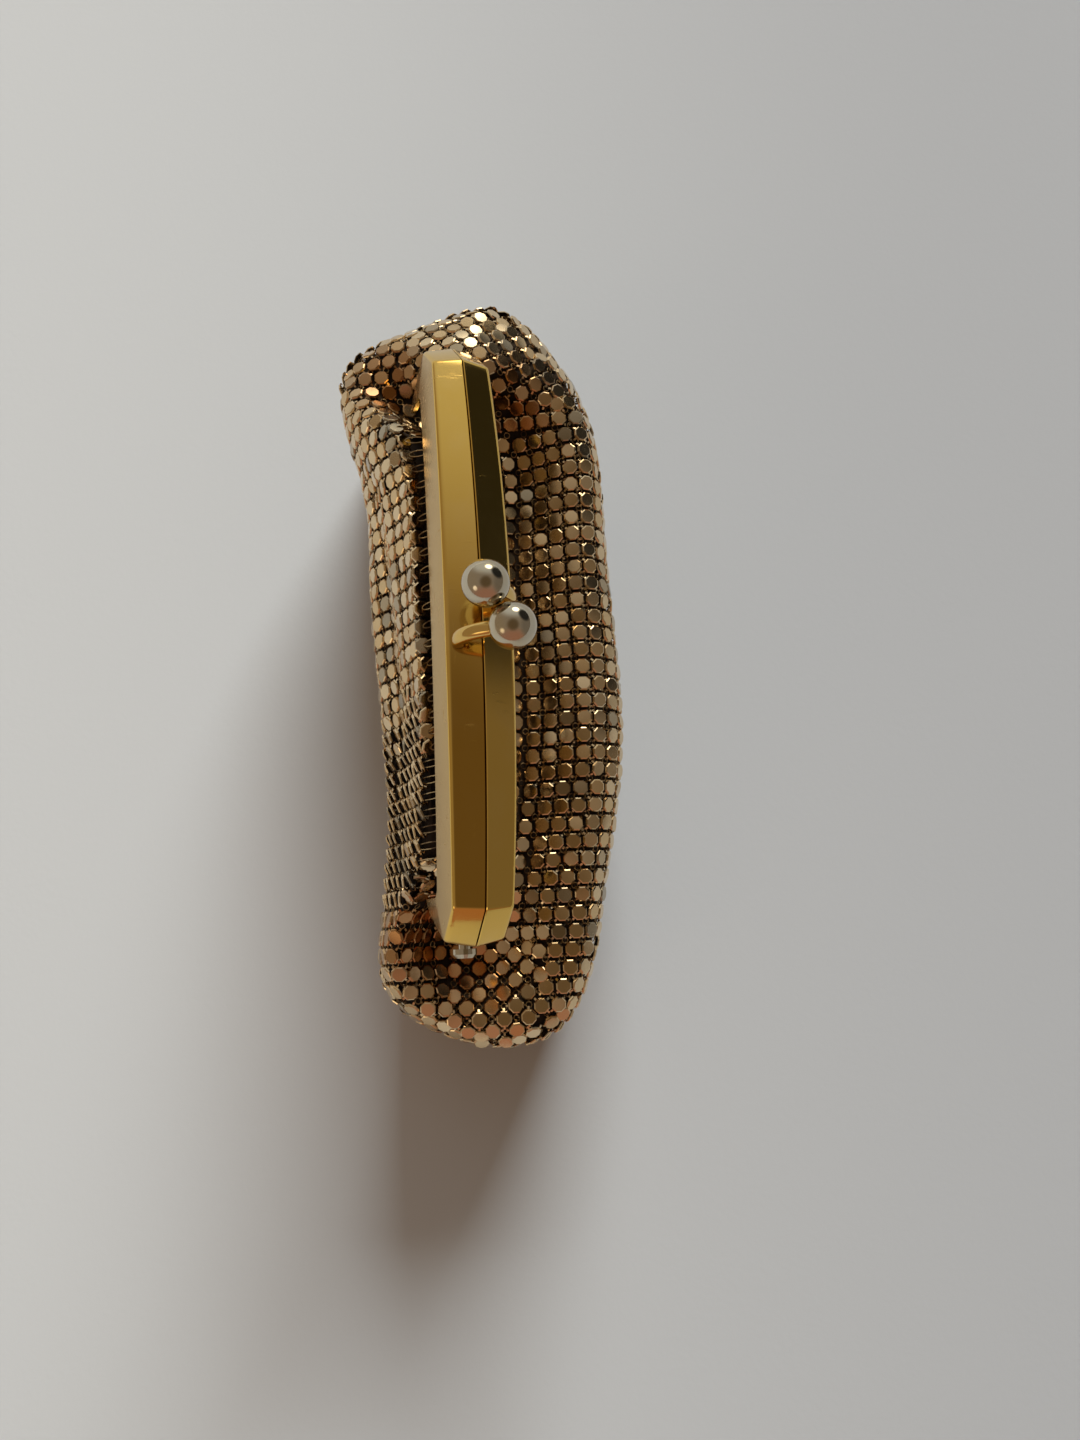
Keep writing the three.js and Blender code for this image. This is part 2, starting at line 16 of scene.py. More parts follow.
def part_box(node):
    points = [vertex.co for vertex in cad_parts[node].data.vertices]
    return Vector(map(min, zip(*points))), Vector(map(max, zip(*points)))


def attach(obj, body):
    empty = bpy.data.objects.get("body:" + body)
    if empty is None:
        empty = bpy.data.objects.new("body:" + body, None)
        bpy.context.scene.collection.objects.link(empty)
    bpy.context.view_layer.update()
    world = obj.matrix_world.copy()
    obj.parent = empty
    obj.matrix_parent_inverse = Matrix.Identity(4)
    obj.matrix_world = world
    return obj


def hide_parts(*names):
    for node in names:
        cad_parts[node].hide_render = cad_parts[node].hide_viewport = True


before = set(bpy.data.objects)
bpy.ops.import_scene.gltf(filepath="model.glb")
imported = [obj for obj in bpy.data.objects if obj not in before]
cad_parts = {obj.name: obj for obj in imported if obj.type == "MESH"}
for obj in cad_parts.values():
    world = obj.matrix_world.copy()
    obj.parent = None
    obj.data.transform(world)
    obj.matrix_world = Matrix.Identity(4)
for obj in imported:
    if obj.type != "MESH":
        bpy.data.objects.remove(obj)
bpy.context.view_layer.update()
MM = 0.001

# %% [markdown]
# The purse's frame is a bent channel that leans over to one side on its slumped pouch.
# These are the same driving sizes as the CAD part has, so each visual piece lands on its CAD piece.

# %% Sizes of the metal frame, in millimetres
BAR_LENGTH = 75
BAR_ARCH = 3.7
BAR_DEPTH = 7.25
CHAMFER_REACH = 4.7
CHAMFER_DROP = 5.2
LEG_DROP = 13
LEG_TUCK = 3.6
LEG_TIP_WIDTH = 3.2
LEG_INSET = 3
LEG_STEP = 0.9
HALF_WIDTH_MIDDLE = 4.6
HALF_WIDTH_END = 4.1
ROOF_SLOPE = math.radians(12)
METAL_WALL = 0.75
SIDE_FLARE = 0.3
INNER_WALL_SHORTER = 1.2
CLEARANCE = 0.3
FRAME_LEAN = math.radians(19.5)
FRAME_ALONG = 0
FRAME_ACROSS = 0.4
MOUTH_HEIGHT = 45
PIN_HEIGHT_IN_LEG = 2.4
half_bar = BAR_LENGTH / 2


def node_centre(node):
    low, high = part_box(node)
    return (np.array(low) + np.array(high)) / 2 / MM


def frame_origin():
    """Where the frame's own origin lies, worked out from its two hinge pins."""
    pins = (node_centre("hinge_pin_far") + node_centre("hinge_pin_near")) / 2
    pin_height = PIN_HEIGHT_IN_LEG - LEG_DROP
    return pins + np.array([0, pin_height * math.sin(FRAME_LEAN), -pin_height * math.cos(FRAME_LEAN)])


FRAME_ORIGIN = frame_origin()
POUCH_SHIFT = np.array([FRAME_ORIGIN[0] - FRAME_ALONG, FRAME_ORIGIN[1] - FRAME_ACROSS, 0])
print("frame origin, mm:", FRAME_ORIGIN.round(2))


def leaned(points):
    """Points of the upright frame, turned and moved to where the frame stands."""
    points = np.asarray(points, dtype=float)
    across = points[..., 1] * math.cos(FRAME_LEAN) - points[..., 2] * math.sin(FRAME_LEAN)
    up = points[..., 1] * math.sin(FRAME_LEAN) + points[..., 2] * math.cos(FRAME_LEAN)
    return np.stack([points[..., 0], across, up], axis=-1) + FRAME_ORIGIN


# %% [markdown]
# The camera looks almost straight down from above the near end, as someone looks at a purse on a table.
# It is made before the pieces.

# %% Camera
CAMERA_HEIGHT = 182
CAMERA_BACK = 39.9
CAMERA_ASIDE = 8.3
CAMERA_PITCH = math.radians(11)
CAMERA_YAW = math.radians(3.03)
PICTURE_HEIGHT = 1440
FOCAL_PIXELS = 1081.6
SENSOR = 36
CLIP_START = 10


def make_camera():
    ahead = np.array([math.cos(CAMERA_YAW), -math.sin(CAMERA_YAW), 0])
    aside = np.array([math.sin(CAMERA_YAW), math.cos(CAMERA_YAW), 0])
    place = -CAMERA_BACK * ahead - CAMERA_ASIDE * aside + POUCH_SHIFT
    place[2] = CAMERA_HEIGHT
    look = ahead * math.sin(CAMERA_PITCH) - np.array([0, 0, math.cos(CAMERA_PITCH)])
    upward = ahead * math.cos(CAMERA_PITCH) + np.array([0, 0, math.sin(CAMERA_PITCH)])
    rightward = np.cross(look, upward)
    data = bpy.data.cameras.new("camera")
    data.sensor_width = SENSOR
    data.lens = SENSOR * FOCAL_PIXELS / PICTURE_HEIGHT
    data.clip_start = CLIP_START * MM
    camera = bpy.data.objects.new("camera", data)
    basis = Matrix([list(row) for row in np.stack([rightward, upward, -look], axis=1)])
    camera.matrix_world = Matrix.Translation([float(value) * MM for value in place]) @ basis.to_4x4()
    bpy.context.scene.collection.objects.link(camera)
    bpy.context.scene.camera = camera
    return camera


camera = make_camera()
print("lens, mm:", round(camera.data.lens, 2))

# %% [markdown]
# Meshes are made here from arrays of points. Every piece of the purse is a few rows of points with
# four-sided faces between them, whether it is a disc, a ring, a wire or a half of the frame. Blender's own
# shapes could be bent to the same forms, but rows of points follow the measured sizes directly.

# %% Helpers for lines of points and for faces between them


def walked(points):
    """The length walked along a line of points, at each of them."""
    return np.concatenate([[0], np.cumsum(np.linalg.norm(np.diff(points, axis=0), axis=1))])


def point_at(length, lengths, points):
    return np.array([np.interp(length, lengths, points[:, axis]) for axis in range(3)])


def bent_between(start, pull, stop, share):
    """A point of the curve that leaves start and reaches stop, drawn towards pull on its way."""
    return (1 - share) ** 2 * start + 2 * share * (1 - share) * pull + share ** 2 * stop


def grid_faces(rows, columns, first=0, rows_close=False, columns_close=True):
    """Four-sided faces between rows of points. The grid may close on itself either way."""
    faces = []
    for row in range(rows if rows_close else rows - 1):
        here = first + row * columns
        below = first + (row + 1) % rows * columns
        for column in range(columns if columns_close else columns - 1):
            beside = (column + 1) % columns
            faces.append((here + column, below + column, below + beside, here + beside))
    return faces


def tube_faces(rows, around, first=0):
    """The wall of a tube, and a face over each of its ends."""
    last = first + (rows - 1) * around
    ends = [tuple(range(first, first + around)), tuple(reversed(range(last, last + around)))]
    return grid_faces(rows, around, first) + ends


def turned_over(faces):
    """The same faces, looking the other way."""
    return [(face[0], *face[:0:-1]) for face in faces]


# %% [markdown]
# Each disc could be an object of its own, but thousands of Blender objects are slow to handle. So one
# template is turned and moved for each disc, and all the copies become one mesh. It is filled straight
# from flat arrays, which is much faster than a face at a time.

# %% Helpers that turn arrays into mesh pieces


def mesh_piece(name, points, faces, material, tone=None, sharp_angle=None):
    """A mesh object from points in millimetres and a list of faces, smooth shaded."""
    mesh = bpy.data.meshes.new(name)
    corners = np.concatenate([np.asarray(face, dtype=np.int32) for face in faces])
    counts = np.array([len(face) for face in faces], dtype=np.int32)
    fill_mesh(mesh, np.asarray(points, dtype=np.float32), corners, counts)
    return finish_piece(name, mesh, material, tone, sharp_angle)


def fill_mesh(mesh, points, corners, counts):
    starts = np.concatenate([[0], np.cumsum(counts)[:-1]]).astype(np.int32)
    mesh.vertices.add(len(points))
    mesh.vertices.foreach_set("co", (points * MM).astype(np.float32).ravel())
    mesh.loops.add(len(corners))
    mesh.loops.foreach_set("vertex_index", corners.astype(np.int32))
    mesh.polygons.add(len(counts))
    mesh.polygons.foreach_set("loop_start", starts)
    mesh.polygons.foreach_set("use_smooth", np.ones(len(counts), dtype=bool))


def finish_piece(name, mesh, material, tone, sharp_angle):
    mesh.update(calc_edges=True)
    if sharp_angle is not None:
        mesh.set_sharp_from_angle(angle=sharp_angle)
    mesh.materials.append(material)
    piece = bpy.data.objects.new(name, mesh)
    bpy.context.scene.collection.objects.link(piece)
    if tone is not None:
        add_attribute(piece, "tone", tone)
    return piece


def add_attribute(piece, name, values):
    """A number for each point, which a material can read by its name."""
    attribute = piece.data.attributes.new(name, "FLOAT", "POINT")
    attribute.data.foreach_set("value", np.asarray(values, dtype=np.float32))


def copies_piece(name, template, places, turns, tones, material, sharp_angle=None):
    """One mesh that holds a turned and moved copy of the template for each place."""
    points, faces = template
    points = np.asarray(points, dtype=float)
    corners = np.concatenate([np.asarray(face) for face in faces])
    counts = np.array([len(face) for face in faces])
    amount = len(places)
    placed = np.einsum("kij,nj->kni", turns, points) + places[:, None, :]
    offsets = np.arange(amount)[:, None] * len(points)
    mesh = bpy.data.meshes.new(name)
    fill_mesh(mesh, placed.reshape(-1, 3), (corners[None, :] + offsets).ravel(), np.tile(counts, amount))
    piece = finish_piece(name, mesh, material, np.repeat(tones, len(points)), sharp_angle)
    triangles = int((counts - 2).sum()) * amount
    print(name, "copies:", amount, "triangles:", triangles)
    return piece


# %% [markdown]
# A material is a small graph of nodes. In the editor each node is dragged and linked by hand. In a script
# a few helpers do that: each places one kind of node, sets it, and gives back the socket to go on from.

# %% Node helpers


def new_group(name, inputs, outputs):
    """An empty shader node group with number inputs and the given outputs."""
    group = bpy.data.node_groups.new(name, "ShaderNodeTree")
    for label, value in inputs.items():
        socket = group.interface.new_socket(name=label, in_out="INPUT", socket_type="NodeSocketFloat")
        socket.default_value = value
    for label, kind in outputs.items():
        group.interface.new_socket(name=label, in_out="OUTPUT", socket_type=kind)
    return group, group.nodes.new("NodeGroupInput"), group.nodes.new("NodeGroupOutput")


def place_node(tree, kind, **settings):
    node = tree.nodes.new(kind)
    for key, value in settings.items():
        setattr(node, key, value)
    return node


def maths(tree, operation, first, second=None, third=None):
    """A Math node. Each input is a number or a socket."""
    node = place_node(tree, "ShaderNodeMath", operation=operation)
    for index, value in enumerate((first, second, third)):
        if value is None:
            continue
        if isinstance(value, (int, float)):
            node.inputs[index].default_value = value
        else:
            tree.links.new(value, node.inputs[index])
    return node.outputs[0]


def point_number(tree, name):
    """The number that each point of a mesh carries under this name."""
    return place_node(tree, "ShaderNodeAttribute", attribute_name=name).outputs["Fac"]


def scaled(tree, value, by, plus=0.0):
    """The value times one number or socket, plus another."""
    return maths(tree, "MULTIPLY_ADD", value, by, plus)


def object_coordinates(tree):
    return tree.nodes.new("ShaderNodeTexCoord").outputs["Object"]


def stretched(tree, vector, scale, rotation=(0.0, 0.0, 0.0)):
    node = place_node(tree, "ShaderNodeMapping")
    node.inputs["Scale"].default_value = scale
    node.inputs["Rotation"].default_value = rotation
    tree.links.new(vector, node.inputs["Vector"])
    return node.outputs["Vector"]


def noise(tree, vector, scale, detail=2.0, rough=0.5):
    node = place_node(tree, "ShaderNodeTexNoise")
    node.inputs["Detail"].default_value = detail
    node.inputs["Roughness"].default_value = rough
    tree.links.new(vector, node.inputs["Vector"])
    if isinstance(scale, (int, float)):
        node.inputs["Scale"].default_value = scale
    else:
        tree.links.new(scale, node.inputs["Scale"])
    return node.outputs["Fac"]


def between(tree, value, low, high):
    """0 where the value is below low, 1 above high, smooth between."""
    node = place_node(tree, "ShaderNodeMapRange", interpolation_type="SMOOTHSTEP")
    node.inputs["From Min"].default_value = low
    node.inputs["From Max"].default_value = high
    tree.links.new(value, node.inputs["Value"])
    return node.outputs["Result"]


def colour_mix(tree, share, first, second):
    node = place_node(tree, "ShaderNodeMix", data_type="RGBA")
    for socket, value in ((node.inputs[0], share), (node.inputs[6], first), (node.inputs[7], second)):
        if isinstance(value, (int, float, tuple)):
            socket.default_value = value
        else:
            tree.links.new(value, socket)
    return node.outputs[2]


# %% [markdown]
# Polished metal is told by its small faults: hairline scratches, and smudges where it was handled.
# They could be painted, but noise stretched along a line looks like scratches from any distance. The
# effect is a node group with named inputs, so the frame, the balls and the discs share it with values of
# their own.

# %% Shared effect: hairline scratches and handling marks


def make_handling_group():
    """Scratches run both ways over the metal, and smudges cloud its polish."""
    group, start, end = new_group(
        "handling marks",
        {"Scratch Scale": 900.0, "Scratch Amount": 0.5, "Smudge Scale": 90.0},
        {"Scratches": "NodeSocketFloat", "Smudges": "NodeSocketFloat"},
    )
    where = object_coordinates(group)
    total = None
    for turn, stretch in ((0.35, (0.08, 1.0, 1.0)), (-0.5, (1.0, 0.12, 0.6))):
        lengthwise = stretched(group, where, stretch, (turn * 0.4, turn * 0.7, turn))
        streak = noise(group, lengthwise, start.outputs["Scratch Scale"], detail=3.0, rough=0.6)
        line = between(group, streak, low=0.62, high=0.7)
        total = line if total is None else maths(group, "MAXIMUM", total, line)
    patches = between(group, noise(group, where, 260.0), low=0.45, high=0.62)
    marks = maths(group, "MULTIPLY", total, patches)
    marks = maths(group, "MULTIPLY", marks, start.outputs["Scratch Amount"])
    group.links.new(marks, end.inputs["Scratches"])
    smudge = noise(group, where, start.outputs["Smudge Scale"], detail=4.0, rough=0.6)
    group.links.new(between(group, smudge, low=0.4, high=0.7), end.inputs["Smudges"])
    return group


handling_group = make_handling_group()


def new_metal(name, colour, rough):
    material = bpy.data.materials.new(name)
    material.use_nodes = True
    tree = material.node_tree
    shader = tree.nodes["Principled BSDF"]
    shader.inputs["Base Color"].default_value = colour
    shader.inputs["Metallic"].default_value = 1.0
    shader.inputs["Roughness"].default_value = rough
    return material, tree, shader


def add_handling(tree, scratch_scale, scratch_amount, smudge_scale):
    node = place_node(tree, "ShaderNodeGroup", node_tree=handling_group)
    node.inputs["Scratch Scale"].default_value = scratch_scale
    node.inputs["Scratch Amount"].default_value = scratch_amount
    node.inputs["Smudge Scale"].default_value = smudge_scale
    return node


def bumped(tree, shader, height, strength, distance):
    node = place_node(tree, "ShaderNodeBump")
    node.inputs["Strength"].default_value = strength
    node.inputs["Distance"].default_value = distance
    tree.links.new(height, node.inputs["Height"])
    tree.links.new(node.outputs["Normal"], shader.inputs["Normal"])


# %% [markdown]
# The frame is brass with a bright gold finish. It mirrors the room, so its colour in the picture is mostly
# the colour of what it faces. Smudges change its roughness a little and scratches catch the light.
# The side walls are rubbed dull. There the frame's own tone is 1, and it is 0 on the bright roof.

# %% Material: polished gold of the frame
FRAME_GOLD = (0.82, 0.53, 0.12, 1.0)
FRAME_GOLD_RUBBED = (0.84, 0.58, 0.2, 1.0)
FRAME_SIDE = (0.6, 0.4, 0.15, 1.0)


def make_frame_gold():
    material, tree, shader = new_metal("polished gold", FRAME_GOLD, rough=0.09)
    marks = add_handling(tree, scratch_scale=1400.0, scratch_amount=0.7, smudge_scale=120.0)
    share = scaled(tree, marks.outputs["Smudges"], by=0.35)
    colour = colour_mix(tree, share, FRAME_GOLD, FRAME_GOLD_RUBBED)
    tone = point_number(tree, "tone")
    tree.links.new(colour_mix(tree, tone, colour, FRAME_SIDE), shader.inputs["Base Color"])
    rough = scaled(tree, marks.outputs["Smudges"], by=0.07, plus=0.07)
    rough = scaled(tree, marks.outputs["Scratches"], by=0.25, plus=rough)
    rough = scaled(tree, tone, by=0.15, plus=rough)
    tree.links.new(rough, shader.inputs["Roughness"])
    bumped(tree, shader, marks.outputs["Scratches"], strength=0.25, distance=0.02 * MM)
    return material


frame_gold = make_frame_gold()

# %% [markdown]
# The balls have lost most of their gold where fingers press them, and a silvery metal shows.
# The arms have kept theirs, so each point of a knob carries a tone: 0 on the ball and near 1 on the arm.

# %% Material: worn silver of the balls
BALL_SILVER = (0.58, 0.52, 0.4, 1.0)
BALL_GOLD = (0.6, 0.44, 0.2, 1.0)
ARM_GOLD = (0.8, 0.52, 0.14, 1.0)


def make_ball_silver():
    material, tree, shader = new_metal("worn silver", BALL_SILVER, rough=0.1)
    marks = add_handling(tree, scratch_scale=1200.0, scratch_amount=0.5, smudge_scale=300.0)
    share = scaled(tree, marks.outputs["Smudges"], by=0.3)
    worn = colour_mix(tree, share, BALL_SILVER, BALL_GOLD)
    tone = point_number(tree, "tone")
    tree.links.new(colour_mix(tree, tone, worn, ARM_GOLD), shader.inputs["Base Color"])
    rough = scaled(tree, marks.outputs["Smudges"], by=0.1, plus=0.08)
    tree.links.new(rough, shader.inputs["Roughness"])
    bumped(tree, shader, marks.outputs["Scratches"], strength=0.2, distance=0.02 * MM)
    return material


ball_silver = make_ball_silver()

# %% [markdown]
# No two discs of the mesh are quite alike: some keep a pink gold, some have dulled to grey.
# Each disc carries a number called tone, and the material mixes its colour and polish from it.
# A second number called fold is high in the deep folds. There the material mixes in a darker orange brown:
# painted shade and painted reflection, for the dark of the folds and for gold mirroring gold.

# %% Material: gold of the mesh discs
DISC_PALE = (0.8, 0.62, 0.38, 1.0)
DISC_WARM = (0.74, 0.53, 0.28, 1.0)
DISC_GREY = (0.42, 0.35, 0.24, 1.0)
FOLD_PAINTED_SHADE_BROWN = (0.4, 0.145, 0.022, 1.0)


def make_disc_gold():
    material, tree, shader = new_metal("champagne gold", DISC_PALE, rough=0.18)
    tone = point_number(tree, "tone")
    marks = add_handling(tree, scratch_scale=1600.0, scratch_amount=0.4, smudge_scale=250.0)
    warm = colour_mix(tree, between(tree, tone, low=0.25, high=0.75), DISC_PALE, DISC_WARM)
    grey = colour_mix(tree, between(tree, tone, low=0.78, high=0.98), warm, DISC_GREY)
    # The fold number mixes in the painted shade and painted reflection of the deep folds.
    fold = point_number(tree, "fold")
    tree.links.new(colour_mix(tree, fold, grey, FOLD_PAINTED_SHADE_BROWN), shader.inputs["Base Color"])
    rough = scaled(tree, marks.outputs["Smudges"], by=0.1, plus=0.1)
    rough = scaled(tree, tone, by=0.08, plus=rough)
    tree.links.new(rough, shader.inputs["Roughness"])
    bumped(tree, shader, marks.outputs["Scratches"], strength=0.1, distance=0.01 * MM)
    return material


disc_gold = make_disc_gold()

# %% [markdown]
# The rings that link the discs are thin wire, darker with grime, and behind them a near black lining shows.
# Its colour is also painted shade, for the dark inside of the pouch.

# %% Materials: link wire and dark lining
WIRE_GOLD = (0.5, 0.36, 0.18, 1.0)
WIRE_GRIME = (0.13, 0.075, 0.035, 1.0)
# The lining's near black is painted shade for the inside of the pouch as well as the cloth's colour.
LINING_DARK_AND_SHADE = (0.016, 0.009, 0.005, 1.0)
LINING_BROWN_AND_SHADE = (0.03, 0.016, 0.008, 1.0)


def make_link_wire():
    material, tree, shader = new_metal("link wire", WIRE_GOLD, rough=0.3)
    clouds = noise(tree, object_coordinates(tree), 400.0, detail=3.0)
    grime = between(tree, clouds, low=0.42, high=0.62)
    tree.links.new(colour_mix(tree, grime, WIRE_GOLD, WIRE_GRIME), shader.inputs["Base Color"])
    tree.links.new(scaled(tree, grime, by=0.3, plus=0.25), shader.inputs["Roughness"])
    return material


def make_lining_cloth():
    material, tree, shader = new_metal("lining cloth", LINING_DARK_AND_SHADE, rough=0.9)
    shader.inputs["Metallic"].default_value = 0.0
    where = object_coordinates(tree)
    threads = noise(tree, stretched(tree, where, (1.0, 0.2, 1.0)), 3000.0, detail=1.0)
    tree.links.new(colour_mix(tree, threads, LINING_DARK_AND_SHADE, LINING_BROWN_AND_SHADE), shader.inputs["Base Color"])
    bumped(tree, shader, threads, strength=0.4, distance=0.1 * MM)
    return material


link_wire = make_link_wire()
lining_cloth = make_lining_cloth()

# %% [markdown]
# The pouch's form is a row of sections round its mouth. Each one starts in the frame's channel, dips into
# the valley beside the frame, climbs to the crest, rolls over at the widest outline and falls to the foot.
# The same short table drives the CAD part, so discs laid on this surface fit it exactly.

# %% Sections of the pouch
POUCH_LENGTH = 113
POUCH_WIDTH = 41
RIM_DEPTH = 5.6
RIM_HALF_LENGTH = 35.6
RIM_BELOW_LEG = 1.6
LEG_SHARE = 0.9
THROAT_BELOW_BAR = 0.6
WAIST_SHARE = 1.08
WAIST_LEVEL = 0.45
FOOT_ROUND_SHARE = 0.05
FOOT_EDGE_RADIUS = 2
COLUMNS = (
    "mouth", "side", "along", "across", "neck_out", "neck_level", "valley_out", "valley_level",
    "crest_out", "crest_level", "slope_out", "slope_level", "brim_level", "foot_out",
)
SECTIONS = {  # shares of the sizes above, one row for each place, in the order of COLUMNS
    "far end": (1, 0, 1.085, -0.185, 0.06, 0.58, 0.2, 0.61, 0.38, 0.72, 0.72, 0.62, 0.5, 0.82),
    "far front corner": (1, -0.5, 0.9, -0.63, 0.06, 0.56, 0.24, 0.57, 0.5, 0.7, 0.76, 0.62, 0.5, 0.82),
    "far front ridge": (0.97, -0.8, 0.765, -0.8, 0.03, 0.56, 0.26, 0.48, 0.74, 0.66, 0.9, 0.62, 0.52, 0.83),
    "front at far leg": (0.92, -1, 0.69, -0.955, 0, 0.6, 0.24, 0.44, 0.82, 0.61, 0.93, 0.58, 0.49, 0.84),
    "front far part": (0.54, -1, 0.36, -0.945, 0, 0.6, 0.16, 0.48, 0.76, 0.55, 0.91, 0.52, 0.45, 0.84),
    "front middle": (0.08, -1, 0.05, -0.99, 0, 0.6, 0.13, 0.49, 0.7, 0.535, 0.89, 0.5, 0.43, 0.84),
    "front near part": (-0.41, -1, -0.275, -0.985, 0, 0.6, 0.14, 0.48, 0.66, 0.525, 0.88, 0.48, 0.42, 0.84),
    "front at near leg": (-0.9, -1, -0.59, -0.8, 0, 0.6, 0.2, 0.44, 0.68, 0.5, 0.88, 0.47, 0.4, 0.84),
    "near front corner": (-1, -0.6, -0.9, -0.63, 0.08, 0.5, 0.32, 0.4, 0.76, 0.47, 0.92, 0.44, 0.38, 0.84),
    "near front turn": (-1, -0.25, -1.01, -0.37, 0.08, 0.48, 0.34, 0.38, 0.8, 0.46, 0.93, 0.43, 0.37, 0.84),
    "near end": (-1, 0.15, -1.015, 0.16, 0.1, 0.46, 0.38, 0.36, 0.82, 0.45, 0.94, 0.42, 0.37, 0.84),
    "near back corner": (-1, 0.4, -0.94, 0.615, 0.1, 0.46, 0.4, 0.38, 0.84, 0.5, 0.94, 0.46, 0.39, 0.84),
    "back at near leg": (-0.98, 0.8, -0.84, 0.945, 0.1, 0.56, 0.3, 0.47, 0.66, 0.64, 0.87, 0.56, 0.42, 0.82),
    "back near part": (-0.84, 1, -0.55, 0.765, 0.03, 0.81, 0.11, 0.82, 0.3, 0.86, 0.66, 0.64, 0.42, 0.8),
    "back near middle": (-0.42, 1, -0.27, 0.745, 0.03, 0.84, 0.1, 0.84, 0.27, 0.89, 0.63, 0.66, 0.44, 0.78),
    "back middle": (0, 1, 0.035, 0.82, 0.03, 0.84, 0.1, 0.84, 0.27, 0.9, 0.63, 0.68, 0.46, 0.78),
    "back far middle": (0.5, 1, 0.33, 0.85, 0.03, 0.83, 0.1, 0.83, 0.27, 0.89, 0.63, 0.72, 0.5, 0.78),
    "back far part": (0.86, 1, 0.47, 0.78, 0.04, 0.78, 0.12, 0.79, 0.31, 0.87, 0.66, 0.75, 0.55, 0.8),
    "back at far leg": (0.98, 0.8, 0.62, 0.96, 0.05, 0.67, 0.18, 0.69, 0.42, 0.79, 0.76, 0.72, 0.58, 0.8),
    "far back corner": (1, 0.45, 0.9, 1.06, 0.06, 0.6, 0.28, 0.56, 0.62, 0.56, 0.88, 0.56, 0.52, 0.8),
    "far back turn": (1, 0.2, 0.955, 0.425, 0.06, 0.58, 0.22, 0.58, 0.46, 0.67, 0.76, 0.64, 0.55, 0.82),
}
FOLD_HEIGHT = 0.8
FOLD_COLUMNS = ("at", "span", "row", "width", "height")
FOLDS = {
    "upper back pleat": (0.76, 0.12, 0.36, 0.05, 0.8),
    "upper back furrow": (0.76, 0.12, 0.46, 0.05, -0.8),
    "lower back pleat": (0.7, 0.12, 0.56, 0.05, 0.6),
    "front crease": (0.36, 0.12, 0.52, 0.035, -1),
}
section_table = np.array(list(SECTIONS.values()), dtype=float)
print("sections round the pouch:", len(section_table))


def section_at(place):
    """The section at a place between the given ones, as a dict of its columns."""
    count = len(section_table)
    start = math.floor(place)
    share = place - start
    before, here, then, after = (section_table[(start + offset) % count] for offset in (-1, 0, 1, 2))
    bend = 2 * before - 5 * here + 4 * then - after
    twist = 3 * here - before - 3 * then + after
    values = here + 0.5 * share * (then - before + share * (bend + share * twist))
    section = dict(zip(COLUMNS, values))
    for key in ("mouth", "side"):
        section[key] = min(1.0, max(-1.0, section[key]))
    return section


def brim_point(section):
    return np.array([section["along"] * POUCH_LENGTH / 2, section["across"] * POUCH_WIDTH / 2])


def bar_top(x):
    return BAR_ARCH * (1 - (x / half_bar) ** 2)


def half_width_at(x):
    share = min(1.0, abs(x) / half_bar)
    return HALF_WIDTH_MIDDLE + (HALF_WIDTH_END - HALF_WIDTH_MIDDLE) * share ** 2


def smoothstep(value, low, high):
    share = min(1.0, max(0.0, (value - low) / (high - low)))
    return share * share * (3 - 2 * share)


def channel_point(section, drop):
    """A point of the pouch's wall in the frame's channel, drop below its rim."""
    x = section["mouth"] * RIM_HALF_LENGTH
    across = half_width_at(x) + SIDE_FLARE / 2 - METAL_WALL - CLEARANCE
    under_leg = smoothstep(abs(section["mouth"]), LEG_SHARE, 1)
    rim = bar_top(x) - RIM_DEPTH
    up = rim + (-LEG_DROP - RIM_BELOW_LEG - rim) * under_leg
    return leaned([x, section["side"] * across, up - drop]) - POUCH_SHIFT


def section_points(section):
    """The points that a section's curve goes through, from the rim to the foot."""
    rim = channel_point(section, 0)
    outline = brim_point(section)

    def at(out, height):
        return np.array([*(rim[:2] + (outline - rim[:2]) * out), height])

    brim = section["brim_level"] * MOUTH_HEIGHT
    foot = section["foot_out"]
    return np.array([
        rim,
        channel_point(section, BAR_DEPTH - RIM_DEPTH + THROAT_BELOW_BAR),
        at(section["neck_out"], section["neck_level"] * MOUTH_HEIGHT),
        at(section["valley_out"], section["valley_level"] * MOUTH_HEIGHT),
        at(section["crest_out"], section["crest_level"] * MOUTH_HEIGHT),
        at(section["slope_out"], section["slope_level"] * MOUTH_HEIGHT),
        at(1, brim),
        at((WAIST_SHARE + foot) / 2, brim * WAIST_LEVEL),
        at(foot + FOOT_ROUND_SHARE, FOOT_EDGE_RADIUS),
        at(foot, 0),
    ])


# %% [markdown]
# A section's curve is a centripetal spline, which passes through its points without loops.
# It is stepped finely and then cut into even lengths, because the discs are spaced along it.

# %% The curve of one section
THROAT_POINT = 1
BRIM_POINT = 6
CURVE_STEPS = 24
SMALLEST_GAP = 1e-4


def root_of_distance(start, stop):
    return max(np.sum((stop - start) ** 2) ** 0.25, SMALLEST_GAP)


def spline_through(points):
    """A fine line through the points, with CURVE_STEPS steps from each one to the next."""
    ends = [2 * points[0] - points[1], *points, 2 * points[-1] - points[-2]]
    line = []
    for index in range(1, len(ends) - 2):
        before, start, stop, after = ends[index - 1:index + 3]
        first = root_of_distance(before, start)
        middle = root_of_distance(start, stop)
        last = root_of_distance(stop, after)
        leave = (start - before) / first - (stop - before) / (first + middle) + (stop - start) / middle
        arrive = (stop - start) / middle - (after - start) / (middle + last) + (after - stop) / last
        leave, arrive = leave * middle, arrive * middle
        for share in np.arange(CURVE_STEPS) / CURVE_STEPS:
            square, cube = share ** 2, share ** 3
            line.append(
                start + leave * share
                + (-3 * start + 3 * stop - 2 * leave - arrive) * square
                + (2 * start - 2 * stop + leave + arrive) * cube
            )
    line.append(points[-1])
    return np.array(line)


